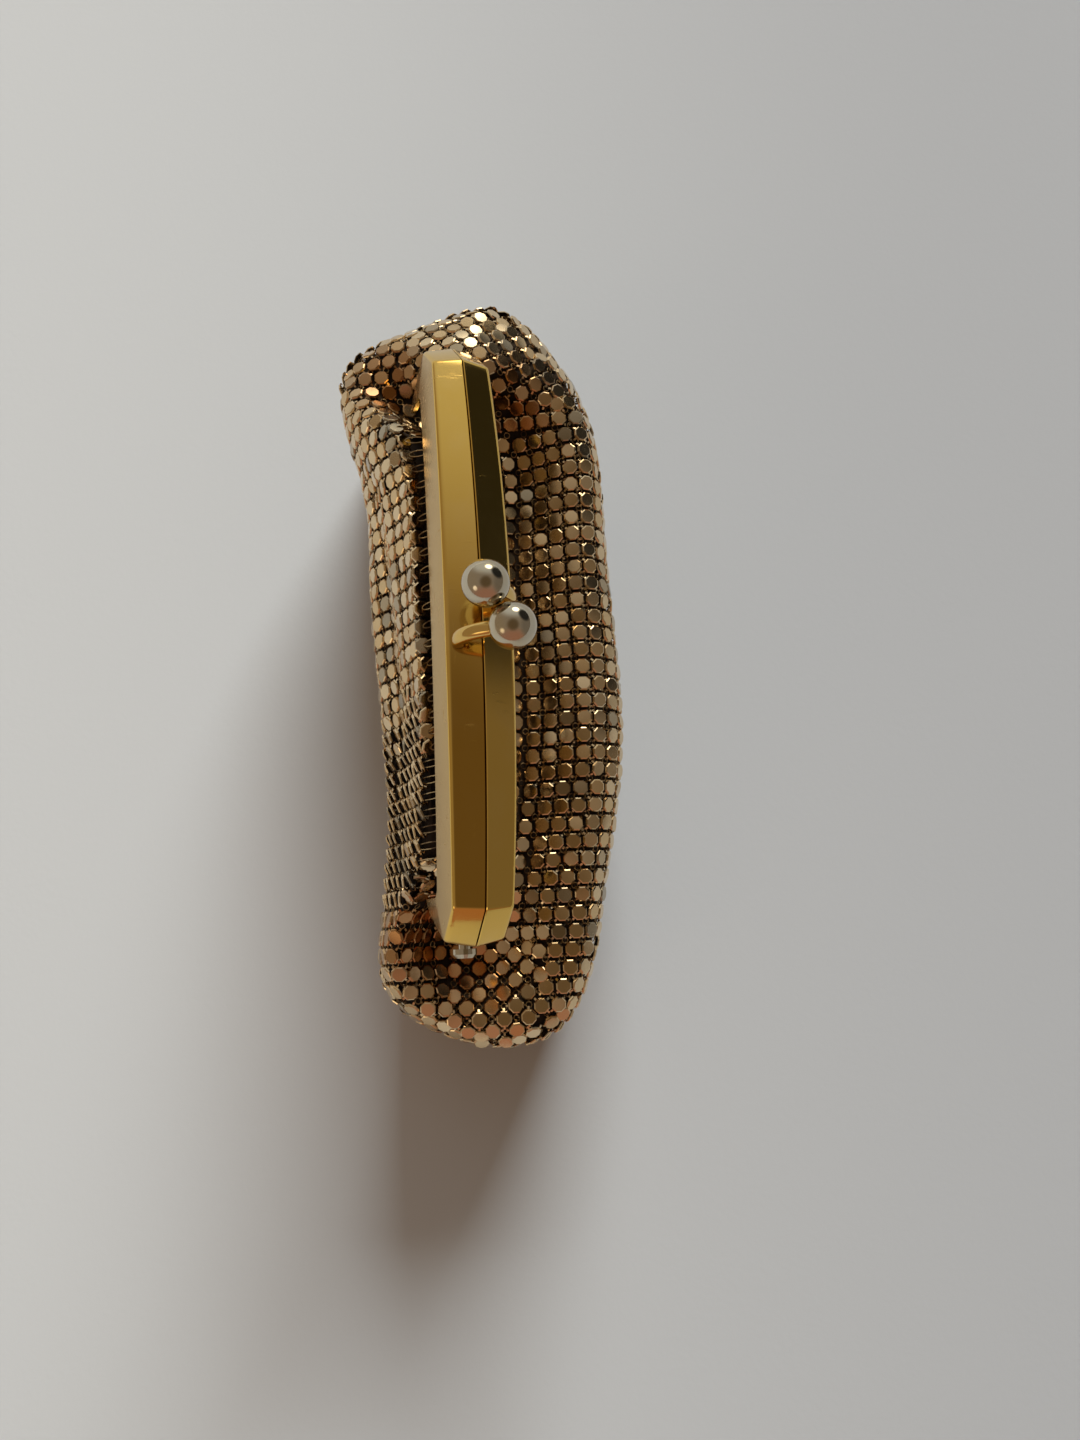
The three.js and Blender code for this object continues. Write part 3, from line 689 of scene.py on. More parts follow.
def evenly_spaced(line, amount):
    """The line cut into even lengths, and the share of its length at the throat and the brim."""
    lengths = walked(line)
    wanted = np.linspace(0, lengths[-1], amount + 1)
    even = np.stack([np.interp(wanted, lengths, line[:, axis]) for axis in range(3)], axis=1)
    marks = [lengths[point * CURVE_STEPS] / lengths[-1] for point in (THROAT_POINT, BRIM_POINT)]
    return even, marks


# %% [markdown]
# The real mesh is even, so the pouch's surface is cut into columns that lie evenly round its widest outline.
# It is a grid of points, three columns to each disc. The discs, the foot and the lining are all laid on it.

# %% Even places round the pouch
DISC_PITCH = 2.6
SUB_COLUMNS = 3
DOWN_STEPS = 96
CAD_COLUMNS = 72
CAD_EASING_PASSES = 6
FINE_STEPS = 16


def brim_walk():
    """Steps round the widest outline and the length walked at each."""
    steps = np.arange(len(section_table) * FINE_STEPS + 1) / FINE_STEPS
    outline = np.array([brim_point(section_at(step)) for step in steps])
    return steps, walked(outline)


walk_steps, walk_lengths = brim_walk()
DISC_COLUMNS = round(walk_lengths[-1] / DISC_PITCH)
FINE_COLUMNS = DISC_COLUMNS * SUB_COLUMNS
print("outline, mm:", round(float(walk_lengths[-1]), 1), "disc columns:", DISC_COLUMNS)


def fold_heights(columns, rows):
    around = (np.arange(columns) / columns)[:, None]
    down = (np.arange(rows + 1) / rows)[None, :]
    height = np.zeros((columns, rows + 1))
    for values in FOLDS.values():
        fold = dict(zip(FOLD_COLUMNS, values))
        away = np.minimum(1, np.abs(around - fold["at"]) / fold["span"])
        across = np.exp(-(((down - fold["row"]) / fold["width"]) ** 2))
        height += fold["height"] * np.cos(away * math.pi / 2) ** 2 * across
    return height * FOLD_HEIGHT


def eased(values, passes):
    for _ in range(passes):
        values = (values + (np.roll(values, 1, axis=0) + np.roll(values, -1, axis=0)) / 2) / 2
    return values


def grid_normals(grid):
    across = np.roll(grid, -1, axis=0) - np.roll(grid, 1, axis=0)
    down = np.gradient(grid, axis=1)
    normal = np.cross(across, down)
    return normal / np.linalg.norm(normal, axis=2, keepdims=True)


def pouch_surface():
    """A fine grid over the pouch, round by down, and the throat and brim shares of each column."""
    wanted = np.arange(FINE_COLUMNS) / FINE_COLUMNS * walk_lengths[-1]
    places = np.interp(wanted, walk_lengths, walk_steps)
    lines, marks = zip(*(
        evenly_spaced(spline_through(section_points(section_at(place))), DOWN_STEPS) for place in places
    ))
    passes = round(CAD_EASING_PASSES * (FINE_COLUMNS / CAD_COLUMNS) ** 2)
    grid = eased(np.array(lines), passes)
    marks = eased(np.array(marks), passes)
    grid = grid + grid_normals(grid) * fold_heights(FINE_COLUMNS, DOWN_STEPS)[:, :, None]
    grid[:, :, 2] = np.maximum(grid[:, :, 2], 0)
    return grid + POUCH_SHIFT, marks


surface, section_marks = pouch_surface()
surface_normals = grid_normals(surface)

# The normals have to look out of the pouch, whichever way round the grid runs.
from_middle = surface[:, DOWN_STEPS // 2] - surface.mean(axis=(0, 1))
if np.sum(surface_normals[:, DOWN_STEPS // 2] * from_middle) < 0:
    surface_normals = -surface_normals
print("pouch surface, mm:", surface.min(axis=(0, 1)).round(1), surface.max(axis=(0, 1)).round(1))

# %% [markdown]
# A disc of the mesh is a pressed cup with four little arms bent under at its corners. The arms close on
# thin rings, one ring between every four discs. The disc is modelled once, with a bevelled rim that gives
# the bright glints, and then copied to every crossing of the lattice.

# %% Template: one disc
DISC_RADIUS = 1.25
DISC_SIDES = 8
DISC_DOME = 0.02
DISC_PROFILE = ((0.81, 0.0), (0.94, -0.11), (1.0, -0.3))
DISC_EDGE_ANGLE = math.radians(15)
ARM_WIDTH = 0.3
ARM_THICKNESS = 0.1
ARM_PATH = ((0.85, -0.3), (1.2, -0.55), (1.0, -0.7))


def disc_template():
    """Eight sides, so that the four cut corners and their bevels glint as the arms' roots do."""
    points = [(0, 0, DISC_DOME)]
    for share, height in DISC_PROFILE:
        for side in range(DISC_SIDES):
            angle = 2 * math.pi * (side + 0.5) / DISC_SIDES
            reach = DISC_RADIUS * share
            points.append((reach * math.cos(angle), reach * math.sin(angle), height))
    faces = [(0, 1 + side, 1 + (side + 1) % DISC_SIDES) for side in range(DISC_SIDES)]
    faces += grid_faces(len(DISC_PROFILE), DISC_SIDES, first=1)
    faces.append(tuple(reversed(range(len(points) - DISC_SIDES, len(points)))))
    for corner in range(4):
        add_arm(points, faces, math.pi / 4 + corner * math.pi / 2)
    return points, faces


def add_arm(points, faces, angle):
    """A bent strip under one corner of the disc."""
    ahead = (math.cos(angle), math.sin(angle))
    first = len(points)
    for out, height in ARM_PATH:
        for side, lift in ((-1, 0), (1, 0), (1, -ARM_THICKNESS), (-1, -ARM_THICKNESS)):
            x = ahead[0] * out * DISC_RADIUS - ahead[1] * side * ARM_WIDTH / 2
            y = ahead[1] * out * DISC_RADIUS + ahead[0] * side * ARM_WIDTH / 2
            points.append((x, y, height + lift))
    faces += turned_over(tube_faces(len(ARM_PATH), 4, first))


disc = disc_template()
print("disc: points", len(disc[0]), "faces", len(disc[1]))

# %% [markdown]
# The rings are thin wire and mostly hidden. Eight short pieces, square across, are round enough
# at this size, and they keep the count of triangles low.

# %% Template: one ring
RING_RADIUS = 0.45
RING_WIRE = 0.09
RING_SIDES = 8
RING_WIRE_SIDES = 4


def ring_template():
    points = []
    for turn in range(RING_SIDES):
        angle = 2 * math.pi * turn / RING_SIDES
        for side in range(RING_WIRE_SIDES):
            lean = 2 * math.pi * side / RING_WIRE_SIDES
            reach = RING_RADIUS + RING_WIRE * math.cos(lean)
            points.append((reach * math.cos(angle), reach * math.sin(angle), RING_WIRE * math.sin(lean)))
    return points, grid_faces(RING_SIDES, RING_WIRE_SIDES, rows_close=True)


ring = ring_template()
print("ring: points", len(ring[0]), "faces", len(ring[1]))

# %% [markdown]
# The mesh can shear, fold and gather, but it can't stretch: no disc is more than one pitch from the next.
# A pattern laid by a map of the surface would stretch its discs or their gaps, so the pouch is dressed in
# panels. The front and the back one are cut across the purse every pitch, or a little closer where the
# mesh is gathered, and discs are stepped down each cut by its length. Round each end the wall has rows
# that turn with it. Over each end, where the two panels meet, a patch lies askew.

# %% Cuts across the pouch
END_START = 44
BRIM_CLEARANCE = 0.3
LAST_ROW_ABOVE_FOOT = 1.4
surface_rows = np.arange(DOWN_STEPS + 1) / DOWN_STEPS


def cut_across(x, side):
    """The pouch's profile at x on one side, from its inner end down to the foot."""
    points, normals, brims = [], [], []
    for row in range(DOWN_STEPS + 1):
        away = surface[:, row, 0] - x
        after = np.roll(away, -1)
        hits = np.nonzero((away > 0) != (after > 0))[0]
        if len(hits) == 0:
            continue
        share = (away[hits] / (away[hits] - after[hits]))[:, None]
        beyond = (hits + 1) % FINE_COLUMNS
        places = surface[hits, row] * (1 - share) + surface[beyond, row] * share
        pick = int(np.argmax(places[:, 1] * side))
        throat, brim = section_marks[hits[pick]]
        if surface_rows[row] < throat:
            continue
        facing = surface_normals[hits, row] * (1 - share) + surface_normals[beyond, row] * share
        points.append(places[pick])
        normals.append(facing[pick] / np.linalg.norm(facing[pick]))
        brims.append(surface_rows[row] - brim)
    return np.array(points), np.array(normals), np.array(brims)


# %% [markdown]
# On the back the rows hang from the crest beside the frame, and on the front they are counted from the
# widest outline. Both go on in a straight line past the frame's ends, as the real rows do.

# %% Discs on the front and back panels
STRAIGHT_REACH = 34
FRONT_STRAIGHT_REACH = 46
HOOK_ZONE = 9
FIRST_ROW_BEFORE_CREST = 0.4
VALLEY_LEAN = 0.4
GATHER = 0.18
GATHER_FROM_X = -2
GATHER_FULL_X = -14


def panel_columns(side, offset):
    """Where a panel's columns lie along the purse, and the room each one has between its neighbours."""
    reach = POUCH_LENGTH / 2 + DISC_PITCH
    xs = list(np.arange(0, reach, DISC_PITCH))
    x = 0
    while x > -reach:
        gather = GATHER * smoothstep(-x, -GATHER_FROM_X, -GATHER_FULL_X) if side > 0 else 0
        gather *= smoothstep(x, -STRAIGHT_REACH - DISC_PITCH, -STRAIGHT_REACH + DISC_PITCH)
        x -= DISC_PITCH * (1 - gather)
        xs.insert(0, x)
    spacings = np.diff(xs)
    return [(x + offset * spacing, spacing) for x, spacing in zip(xs, spacings)]


def crest_length(points, lengths):
    """How far down the cut the crest beside the frame lies, where the first row hangs on its hooks."""
    dip = int(np.argmin(points[lengths < HOOK_ZONE, 2]))
    return float(lengths[dip + int(np.argmax(points[dip:, 2]))])


def reference_length(points, lengths, brims, x, side, line):
    """Where a panel's rows are counted from: the crest on the back, the widest outline on the front."""
    if side > 0 and abs(x) <= STRAIGHT_REACH:
        return crest_length(points, lengths) - FIRST_ROW_BEFORE_CREST
    if side < 0 and abs(x) <= FRONT_STRAIGHT_REACH:
        return float(np.interp(0, brims, lengths))
    wanted = line(x) * side
    outs = np.maximum.accumulate(points[:, 1] * side)
    if outs[0] > wanted:
        return wanted - outs[0]
    reference = float(np.interp(wanted, outs, lengths))
    if outs[-1] < wanted:
        reference = float(np.interp(0, brims, lengths)) + wanted - outs[-1]
    return reference


def straight_line(side):
    """The line along the purse that carries on a panel's rows over both ends."""
    reach = STRAIGHT_REACH if side > 0 else FRONT_STRAIGHT_REACH
    known = {}
    for x in (-reach, -reach + DISC_PITCH * 2, reach - DISC_PITCH * 2, reach):
        points, _, brims = cut_across(x, side)
        lengths = walked(points)
        length = reference_length(points, lengths, brims, x, side, None)
        known[x] = float(np.interp(length, lengths, points[:, 1]))
    xs = sorted(known)

    def line(x):
        first, second = (xs[0], xs[1]) if x < 0 else (xs[3], xs[2])
        slope = (known[first] - known[second]) / (first - second)
        return known[first] + slope * (x - first)

    return line


def panel_lattice(side, offset):
    """Places, normals and directions of one panel's discs, or of its rings where the offset is a half."""
    line = straight_line(side)
    found = []
    for x, spacing in panel_columns(side, offset):
        points, normals, brims = cut_across(x, side)
        if len(points) < 3:
            continue
        lengths = walked(points)
        brim = float(np.interp(0, brims, lengths))
        last = lengths[-1] - LAST_ROW_ABOVE_FOOT
        if abs(x) >= END_START:
            last = brim - BRIM_CLEARANCE * DISC_PITCH
        reference = reference_length(points, lengths, brims, x, side, line) + offset * DISC_PITCH
        hangs_from_crest = side > 0 and abs(x) <= STRAIGHT_REACH
        row = 0 if hangs_from_crest else math.ceil(-reference / DISC_PITCH)
        while reference + row * DISC_PITCH < last:
            length = reference + row * DISC_PITCH
            place = point_at(length, lengths, points)
            normal = point_at(length, lengths, normals)
            if side < 0 < normal[1]:
                normal[1] *= VALLEY_LEAN
            found.append((place, normal, (1, 0, 0), spacing))
            row += 1
    return lattice_arrays(found)


def lattice_arrays(found):
    place, normal, around, spacing = (np.array(part, dtype=float) for part in zip(*found))
    normal /= np.linalg.norm(normal, axis=1, keepdims=True)
    return place, normal, around, spacing


# %% [markdown]
# Round the two ends the wall is a steep band. Its discs step down the grid's own columns from the widest
# outline, so the rows turn the corner with the wall.

# %% Discs round the end walls


def column_lengths():
    steps = np.linalg.norm(np.diff(surface, axis=1), axis=2)
    return np.concatenate([np.zeros((len(surface), 1)), np.cumsum(steps, axis=1)], axis=1)


surface_lengths = column_lengths()


def surface_at(column, length):
    """Place and normal on the surface, at a length down a fine column."""
    lengths = surface_lengths[column]
    where = np.interp(length, lengths, np.arange(len(lengths)))
    low = int(min(where, len(lengths) - 2))
    share = where - low
    point = surface[column, low] * (1 - share) + surface[column, low + 1] * share
    normal = surface_normals[column, low] * (1 - share) + surface_normals[column, low + 1] * share
    return point, normal / np.linalg.norm(normal)


def end_wall_lattice(offset):
    found = []
    for column in range(DISC_COLUMNS):
        fine = int(round((column + offset) * SUB_COLUMNS)) % FINE_COLUMNS
        total = surface_lengths[fine][-1]
        brim = section_marks[fine][1] * total
        if abs(surface_at(fine, brim)[0][0]) < END_START:
            continue
        length = brim + offset * DISC_PITCH
        while length < total - LAST_ROW_ABOVE_FOOT:
            point, normal = surface_at(fine, length)
            before = surface_at((fine - SUB_COLUMNS) % FINE_COLUMNS, length)[0]
            after = surface_at((fine + SUB_COLUMNS) % FINE_COLUMNS, length)[0]
            spacing = np.linalg.norm(after - before) / 2
            found.append((point, normal, (after - before) / (2 * spacing), spacing))
            length += DISC_PITCH
    return lattice_arrays(found)


# %% [markdown]
# On top of each end the mesh folds over itself, and its rows run askew to both panels. A flat lattice is
# turned to that direction, and each of its places is dropped on the surface by a ray from above.

# %% Discs of the patches over the two ends
END_PATCHES = {
    "near": {"x": (-60, -43.5), "y": (-5, 7.4), "turn": math.radians(45), "upright": 0.5, "facet": (1, 1)},
    "far": {"x": (39, 61), "y": (-19, 9.5), "turn": math.radians(32), "upright": 0, "facet": (0.5, 1.7)},
}
PATCH_SQUEEZE = 0.97
PATCH_REACH = 14
STEEPEST_FACING = 0.35


def top_surface_tree():
    """The part of the pouch above its widest outline, ready for rays."""
    rows = int(section_marks[:, 1].max() * DOWN_STEPS) + 2
    points = [tuple(point) for point in surface[:, :rows].reshape(-1, 3)]
    faces = grid_faces(FINE_COLUMNS, rows, rows_close=True, columns_close=False)
    return BVHTree.FromPolygons(points, turned_over(faces))


top_tree = top_surface_tree()


def patch_lattice(patch, offset):
    ahead = np.array([math.cos(patch["turn"]), math.sin(patch["turn"])])
    aside = np.array([-ahead[1], ahead[0]])
    middle = np.array([sum(patch["x"]) / 2, sum(patch["y"]) / 2])
    step = DISC_PITCH * PATCH_SQUEEZE
    counts = range(-PATCH_REACH, PATCH_REACH + 1)
    found = []
    for first in counts:
        for second in counts:
            spot = middle + ahead * (first + offset) * step + aside * (second + offset) * step
            inside = all(low < value < high for value, (low, high) in zip(spot, (patch["x"], patch["y"])))
            if not inside:
                continue
            hit, normal, _, _ = top_tree.ray_cast((*spot, 2 * MOUTH_HEIGHT), (0, 0, -1))
            if hit is None or abs(normal.z) < STEEPEST_FACING:
                continue
            normal = np.array(normal) * math.copysign(1, normal.z) + np.array([0, 0, patch["upright"]])
            if normal[1] < 0:
                normal[:2] *= patch["facet"]
            found.append((np.array(hit), normal, (*ahead, 0), DISC_PITCH))
    return lattice_arrays(found)


# %% [markdown]
# Where two panels meet, their discs would share a place or leave a hole. The panels are joined in order,
# each without the discs that crowd the ones before it, and the holes that stay are filled one by one.

# %% Join the panels, without two discs in one place or a hole between them
NEAREST_SHARE = 0.64
HOLE_SHARE = 0.75
HOLES_FROM_X = 32
HOLES_BELOW_THROAT = 0.06


def without_crowding(lattices):
    """Each lattice in turn, less what lies too near the ones before it."""
    kept = []
    for name, (place, normal, around, spacing) in lattices.items():
        free = np.ones(len(place), dtype=bool)
        for _, (others, _, _, _) in kept:
            gaps = np.linalg.norm(place[:, None, :] - others[None, :, :], axis=2).min(axis=1)
            free &= gaps > NEAREST_SHARE * DISC_PITCH
        kept.append((name, (place[free], normal[free], around[free], spacing[free])))
    return dict(kept)


def hole_fillers(lattices):
    """Places over both ends whose nearest disc is too far away, the widest hole first."""
    below_throat = surface_rows[None, :] > section_marks[:, :1] + HOLES_BELOW_THROAT
    at_ends = (abs(surface[:, :, 0]) > HOLES_FROM_X) & (surface[:, :, 2] > LAST_ROW_ABOVE_FOOT)
    points = surface[below_throat & at_ends]
    normals = surface_normals[below_throat & at_ends]
    known = np.concatenate([place for place, _, _, _ in lattices.values()])
    gaps = np.full(len(points), np.inf)
    for place in known:
        gaps = np.minimum(gaps, np.linalg.norm(points - place, axis=1))
    found = []
    while gaps.max() > HOLE_SHARE * DISC_PITCH:
        pick = int(np.argmax(gaps))
        found.append((points[pick], normals[pick], (1, 0, 0), DISC_PITCH))
        gaps = np.minimum(gaps, np.linalg.norm(points - points[pick], axis=1))
    return lattice_arrays(found)


def whole_lattice(offset):
    lattices = {"far_patch": patch_lattice(END_PATCHES["far"], offset)}
    lattices["near_patch"] = patch_lattice(END_PATCHES["near"], offset)
    lattices["end_walls"] = end_wall_lattice(offset)
    lattices["front"] = panel_lattice(-1, offset)
    lattices["back"] = panel_lattice(1, offset)
    kept = without_crowding(lattices)
    kept["fillers"] = hole_fillers(kept)
    return kept


disc_lattices = whole_lattice(0)
ring_lattices = whole_lattice(0.5)
print("discs:", {name: len(lattice[0]) for name, lattice in disc_lattices.items()})
print("rings:", {name: len(lattice[0]) for name, lattice in ring_lattices.items()})

# %% [markdown]
# Deep in a fold, gold mirrors gold again and again, and each bounce takes some green and blue away.
# Enough bounces to show that would be slow to render, so the deep folds are named here, and the discs near
# them carry their share of a painted brown: painted shade and painted reflection, darker and more orange
# than the gold.

# %% How much painted fold shade each disc carries
RANDOM_SEED = 7
random_numbers = np.random.default_rng(RANDOM_SEED)
DEEP_FOLDS_PAINTED_SHADE = {
    "far back": {"at": (45, 13), "reach": 8, "share": 0.9},
    "far front": {"at": (41, -6), "reach": 8, "share": 0.8},
    "near back": {"at": (-41, 11), "reach": 8, "share": 1},
    "near end": {"at": (-45, 5), "reach": 9, "share": 0.85},
}
PAINTED_FOLD_SHADE_FADE = 2 / 3
LEAST_PAINTED_FOLD_SHADE_SHARE = 0.6


# Each disc's share of the painted shade and painted reflection of the deep folds, with a random part.
def painted_fold_shade_shares(places):
    shares = np.zeros(len(places))
    for fold in DEEP_FOLDS_PAINTED_SHADE.values():
        away = np.linalg.norm(places[:, :2] - POUCH_SHIFT[:2] - fold["at"], axis=1) / fold["reach"]
        shares = np.maximum(shares, fold["share"] * np.clip((1 - away) / PAINTED_FOLD_SHADE_FADE, 0, 1))
    return shares * random_numbers.uniform(LEAST_PAINTED_FOLD_SHADE_SHARE, 1, len(places))


# %% [markdown]
# Each disc is turned to its place. Where the columns crowd, the discs tip like slats, and every disc also
# has a small lean of its own, which is why no two of them mirror the same thing.

# %% Turn and place the discs
TIGHTEST_FIT = 0.97
SLAT_LIMIT = math.radians(50)
SLAT_SHARE = 0.7
SLAT_LEAN = 0.45
TILT_SPREAD = math.radians(5)
DISC_LIFT = 0.05
RING_DEPTH = 0.4


def turn_about(axis, angle):
    """Rotation matrices about the axes by the angles."""
    x, y, z = axis.T
    zero = np.zeros_like(x)
    cross = np.stack([zero, -z, y, z, zero, -x, -y, x, zero], axis=1).reshape(-1, 3, 3)
    sine = np.sin(angle)[:, None, None]
    cosine = np.cos(angle)[:, None, None]
    return np.eye(3)[None] + sine * cross + (1 - cosine) * (cross @ cross)


def turned_frames(normal, around):
    """Matrices whose columns are round, down and outwards."""
    down = np.cross(normal, around)
    down /= np.linalg.norm(down, axis=1, keepdims=True)
    across = np.cross(down, normal)
    return np.stack([across, down, normal], axis=2)


def disc_layout(lattice):
    place, normal, around, spacing = lattice
    frames = turned_frames(normal, around)
    crowding = np.minimum(1, spacing / (DISC_PITCH * TIGHTEST_FIT))
    slat = np.minimum(np.arccos(crowding), SLAT_LIMIT)
    frames = turn_about(frames[:, :, 1], -slat * SLAT_SHARE) @ frames
    frames = turn_about(frames[:, :, 0], -slat * SLAT_LEAN) @ frames
    frames = turn_about(frames[:, :, 0], random_numbers.normal(0, TILT_SPREAD, len(place))) @ frames
    frames = turn_about(frames[:, :, 1], random_numbers.normal(0, TILT_SPREAD, len(place))) @ frames
    tones = random_numbers.random(len(place))
    return place + normal * DISC_LIFT, frames, tones


def make_wall_pieces():
    pieces = []
    for name, lattice in disc_lattices.items():
        place, frames, tones = disc_layout(lattice)
        discs = copies_piece("mesh_" + name, disc, place, frames, tones, disc_gold, DISC_EDGE_ANGLE)
        # fold: each disc's share of painted shade and painted reflection.
        add_attribute(discs, "fold", np.repeat(painted_fold_shade_shares(place), len(disc[0])))
        pieces.append(discs)
        place, frames, tones = disc_layout(ring_lattices[name])
        place = place - frames[:, :, 2] * RING_DEPTH
        pieces.append(copies_piece("rings_" + name, ring, place, frames, tones, link_wire))
    return pieces


wall_pieces = make_wall_pieces()

# %% [markdown]
# Under the purse the mesh lies flat, as it rests on the table. It is a plain square lattice, cut to the
# outline of the foot, with the discs facing down.

# %% Make the flat foot
FOOT_MARGIN = 1.0


def inside_outline(points, outline):
    """Which points lie inside a closed outline, by counting crossings to one side."""
    inside = np.zeros(len(points), dtype=bool)
    for start, stop in zip(outline, np.roll(outline, -1, axis=0)):
        spans = (start[1] > points[:, 1]) != (stop[1] > points[:, 1])
        if not spans.any():
            continue
        share = (points[:, 1] - start[1]) / (stop[1] - start[1])
        inside ^= spans & (points[:, 0] < start[0] + (stop[0] - start[0]) * share)
    return inside


def foot_places(offset):
    outline = surface[:, -1, :2]
    centre = outline.mean(axis=0)
    reach = np.linalg.norm(outline - centre, axis=1, keepdims=True)
    outline = centre + (outline - centre) * (1 - FOOT_MARGIN / reach)
    low, high = outline.min(axis=0), outline.max(axis=0)
    xs = (np.arange(math.ceil(low[0] / DISC_PITCH), math.ceil(high[0] / DISC_PITCH)) + offset) * DISC_PITCH
    ys = np.arange(low[1], high[1], DISC_PITCH) + offset * DISC_PITCH
    points = np.stack(np.meshgrid(xs, ys), axis=-1).reshape(-1, 2)
    return points[inside_outline(points, outline)]


def make_foot_pieces():
    facing_down = np.diag([1.0, -1.0, -1.0])
    pieces = []
    for name, template, material, offset, lift in (
        ("mesh_foot", disc, disc_gold, 0, DISC_LIFT), ("rings_foot", ring, link_wire, 0.5, RING_DEPTH),
    ):
        flat = foot_places(offset)
        place = np.column_stack([flat, np.full(len(flat), lift)])
        frames = np.repeat(facing_down[None], len(flat), axis=0)
        tones = random_numbers.random(len(flat))
        pieces.append(copies_piece(name, template, place, frames, tones, material, DISC_EDGE_ANGLE))
    return pieces


foot_pieces = make_foot_pieces()

# %% [markdown]
# Behind the discs lies a thin lining, painted near black: the cloth's colour and also painted shade for the
# dark inside of the pouch, which makes the gaps between the discs look black.
# It is one sheet, a little inside the mesh, from the same grid with fewer rows.

# %% Make the lining
LINING_INSET = 0.95
LINING_ROWS = 3


def make_lining():
    rows = list(range(0, DOWN_STEPS + 1, LINING_ROWS))
    sheet = (surface - surface_normals * LINING_INSET)[:, rows]
    sheet[:, :, 2] = np.maximum(sheet[:, :, 2], LINING_INSET)
    points = sheet.reshape(-1, 3)
    wide, tall = sheet.shape[:2]
    faces = turned_over(grid_faces(wide, tall, rows_close=True, columns_close=False))
    centre = len(points)
    points = np.vstack([points, [*sheet[:, -1, :2].mean(axis=0), LINING_INSET]])
    for column in range(wide):
        after = (column + 1) % wide
        faces.append((column * tall + tall - 1, centre, after * tall + tall - 1))
    return mesh_piece("pouch_lining", points, faces, lining_cloth)


lining = make_lining()

# %% [markdown]
# The frame's two halves are bent from strip: a shallow roof, a rounded edge and a straight side wall.
# A polished surface shows every facet, so each half is swept again here with fine steps and round edges,
# along exactly the line of the CAD piece that it replaces.

# %% Sweep the two halves of the frame
FINE_BAR_STEPS = 60
ROUND_STEPS = 4
CORNER_STEPS = 3
CORNER_ROUND = 0.9
STRAIGHT_ENOUGH = 0.98
SEAM_LINE = 0.14
SEAM_ROUND = 0.12
SEAM_DROP = 0.02
EDGE_BEND_IN = 0.64
EDGE_BEND_DOWN = 0.56
EDGE_BEND_OUT = 0.02
OPEN_EDGE_ROUND = 0.1
FRAME_EDGE_ANGLE = math.radians(40)
SIDE_WALL_POINTS = slice(2 + ROUND_STEPS, 5 + ROUND_STEPS)


def frame_line():
    """The outer and open edges of the frame's side view, from one leg tip to the other."""
    knee = half_bar + CHAMFER_REACH
    tip = knee - LEG_TUCK
    open_half = half_bar - LEG_INSET
    end = [
        ((tip, -LEG_DROP), (tip - LEG_TIP_WIDTH, -LEG_DROP)),
        ((knee, -CHAMFER_DROP), (open_half + LEG_STEP, -BAR_DEPTH - LEG_STEP)),
        ((half_bar, 0), (open_half, -BAR_DEPTH)),
    ]
    bar = []
    for step in range(1, FINE_BAR_STEPS):
        share = 1 - 2 * step / FINE_BAR_STEPS
        top = bar_top(share * half_bar)
        bar.append(((share * half_bar, top), (share * open_half, top - BAR_DEPTH)))
    mirrored = [((-outer[0], outer[1]), (-inner[0], inner[1])) for outer, inner in reversed(end)]
    return [*end, *bar, *mirrored]


def softened_line(line):
    """The same line with its corners cut by short curves, as a bend in strip is."""
    line = np.array(line, dtype=float)
    soft = [line[0]]
    for before, here, after in zip(line[:-2], line[1:-1], line[2:]):
        into, away = here - before, after - here
        into_length, away_length = np.linalg.norm(into[0]), np.linalg.norm(away[0])
        turn = np.dot(into[0], away[0]) / (into_length * away_length)
        if turn > STRAIGHT_ENOUGH:
            soft.append(here)
            continue
        reach = min(CORNER_ROUND, into_length / 3, away_length / 3)
        start, stop = here - into * reach / into_length, here + away * reach / away_length
        for share in np.linspace(0, 1, CORNER_STEPS + 1):
            soft.append(bent_between(start, here, stop, share))
    soft.append(line[-1])
    return soft


def channel_profile(half_width, depth):
    """Cross-section of one half: across from the seam and deep from the outer edge."""
    inner = SEAM_LINE / 2
    slope = math.tan(ROOF_SLOPE)
    bend_start = half_width - EDGE_BEND_IN
    corner_start = np.array([bend_start, bend_start * slope])
    corner = np.array([half_width, half_width * slope])
    corner_stop = np.array([half_width + EDGE_BEND_OUT, half_width * slope + EDGE_BEND_DOWN])
    shares = np.linspace(0, 1, ROUND_STEPS + 1)
    return [
        (inner, SEAM_DROP + SEAM_ROUND),
        (inner + SEAM_ROUND, SEAM_DROP),
        *(tuple(bent_between(corner_start, corner, corner_stop, share)) for share in shares),
        (half_width + SIDE_FLARE, depth - OPEN_EDGE_ROUND),
        (half_width + SIDE_FLARE - OPEN_EDGE_ROUND, depth),
        (half_width + SIDE_FLARE - METAL_WALL, depth),
        (half_width - METAL_WALL, half_width * slope + METAL_WALL),
        (inner + METAL_WALL, METAL_WALL + METAL_WALL * slope),
        (inner + METAL_WALL, depth - INNER_WALL_SHORTER),
        (inner, depth - INNER_WALL_SHORTER),
    ]


def make_frame_half(name, side):
    """One half of the frame: the channel's profile at each place of the frame's line."""
    line = softened_line(frame_line())
    points = []
    for outer, inner in line:
        depth = np.linalg.norm(inner - outer)
        ahead = (inner - outer) / depth
        for across, deep in channel_profile(half_width_at(outer[0]), depth):
            along, up = outer + ahead * deep
            points.append((along, side * across, up))
    around = len(points) // len(line)
    faces = turned_over(tube_faces(len(line), around))
    if side < 0:
        faces = [face[::-1] for face in faces]
    tone = np.zeros((len(line), around))
    tone[:, SIDE_WALL_POINTS] = 1
    return mesh_piece(name, leaned(points), faces, frame_gold, tone.ravel(), FRAME_EDGE_ANGLE)


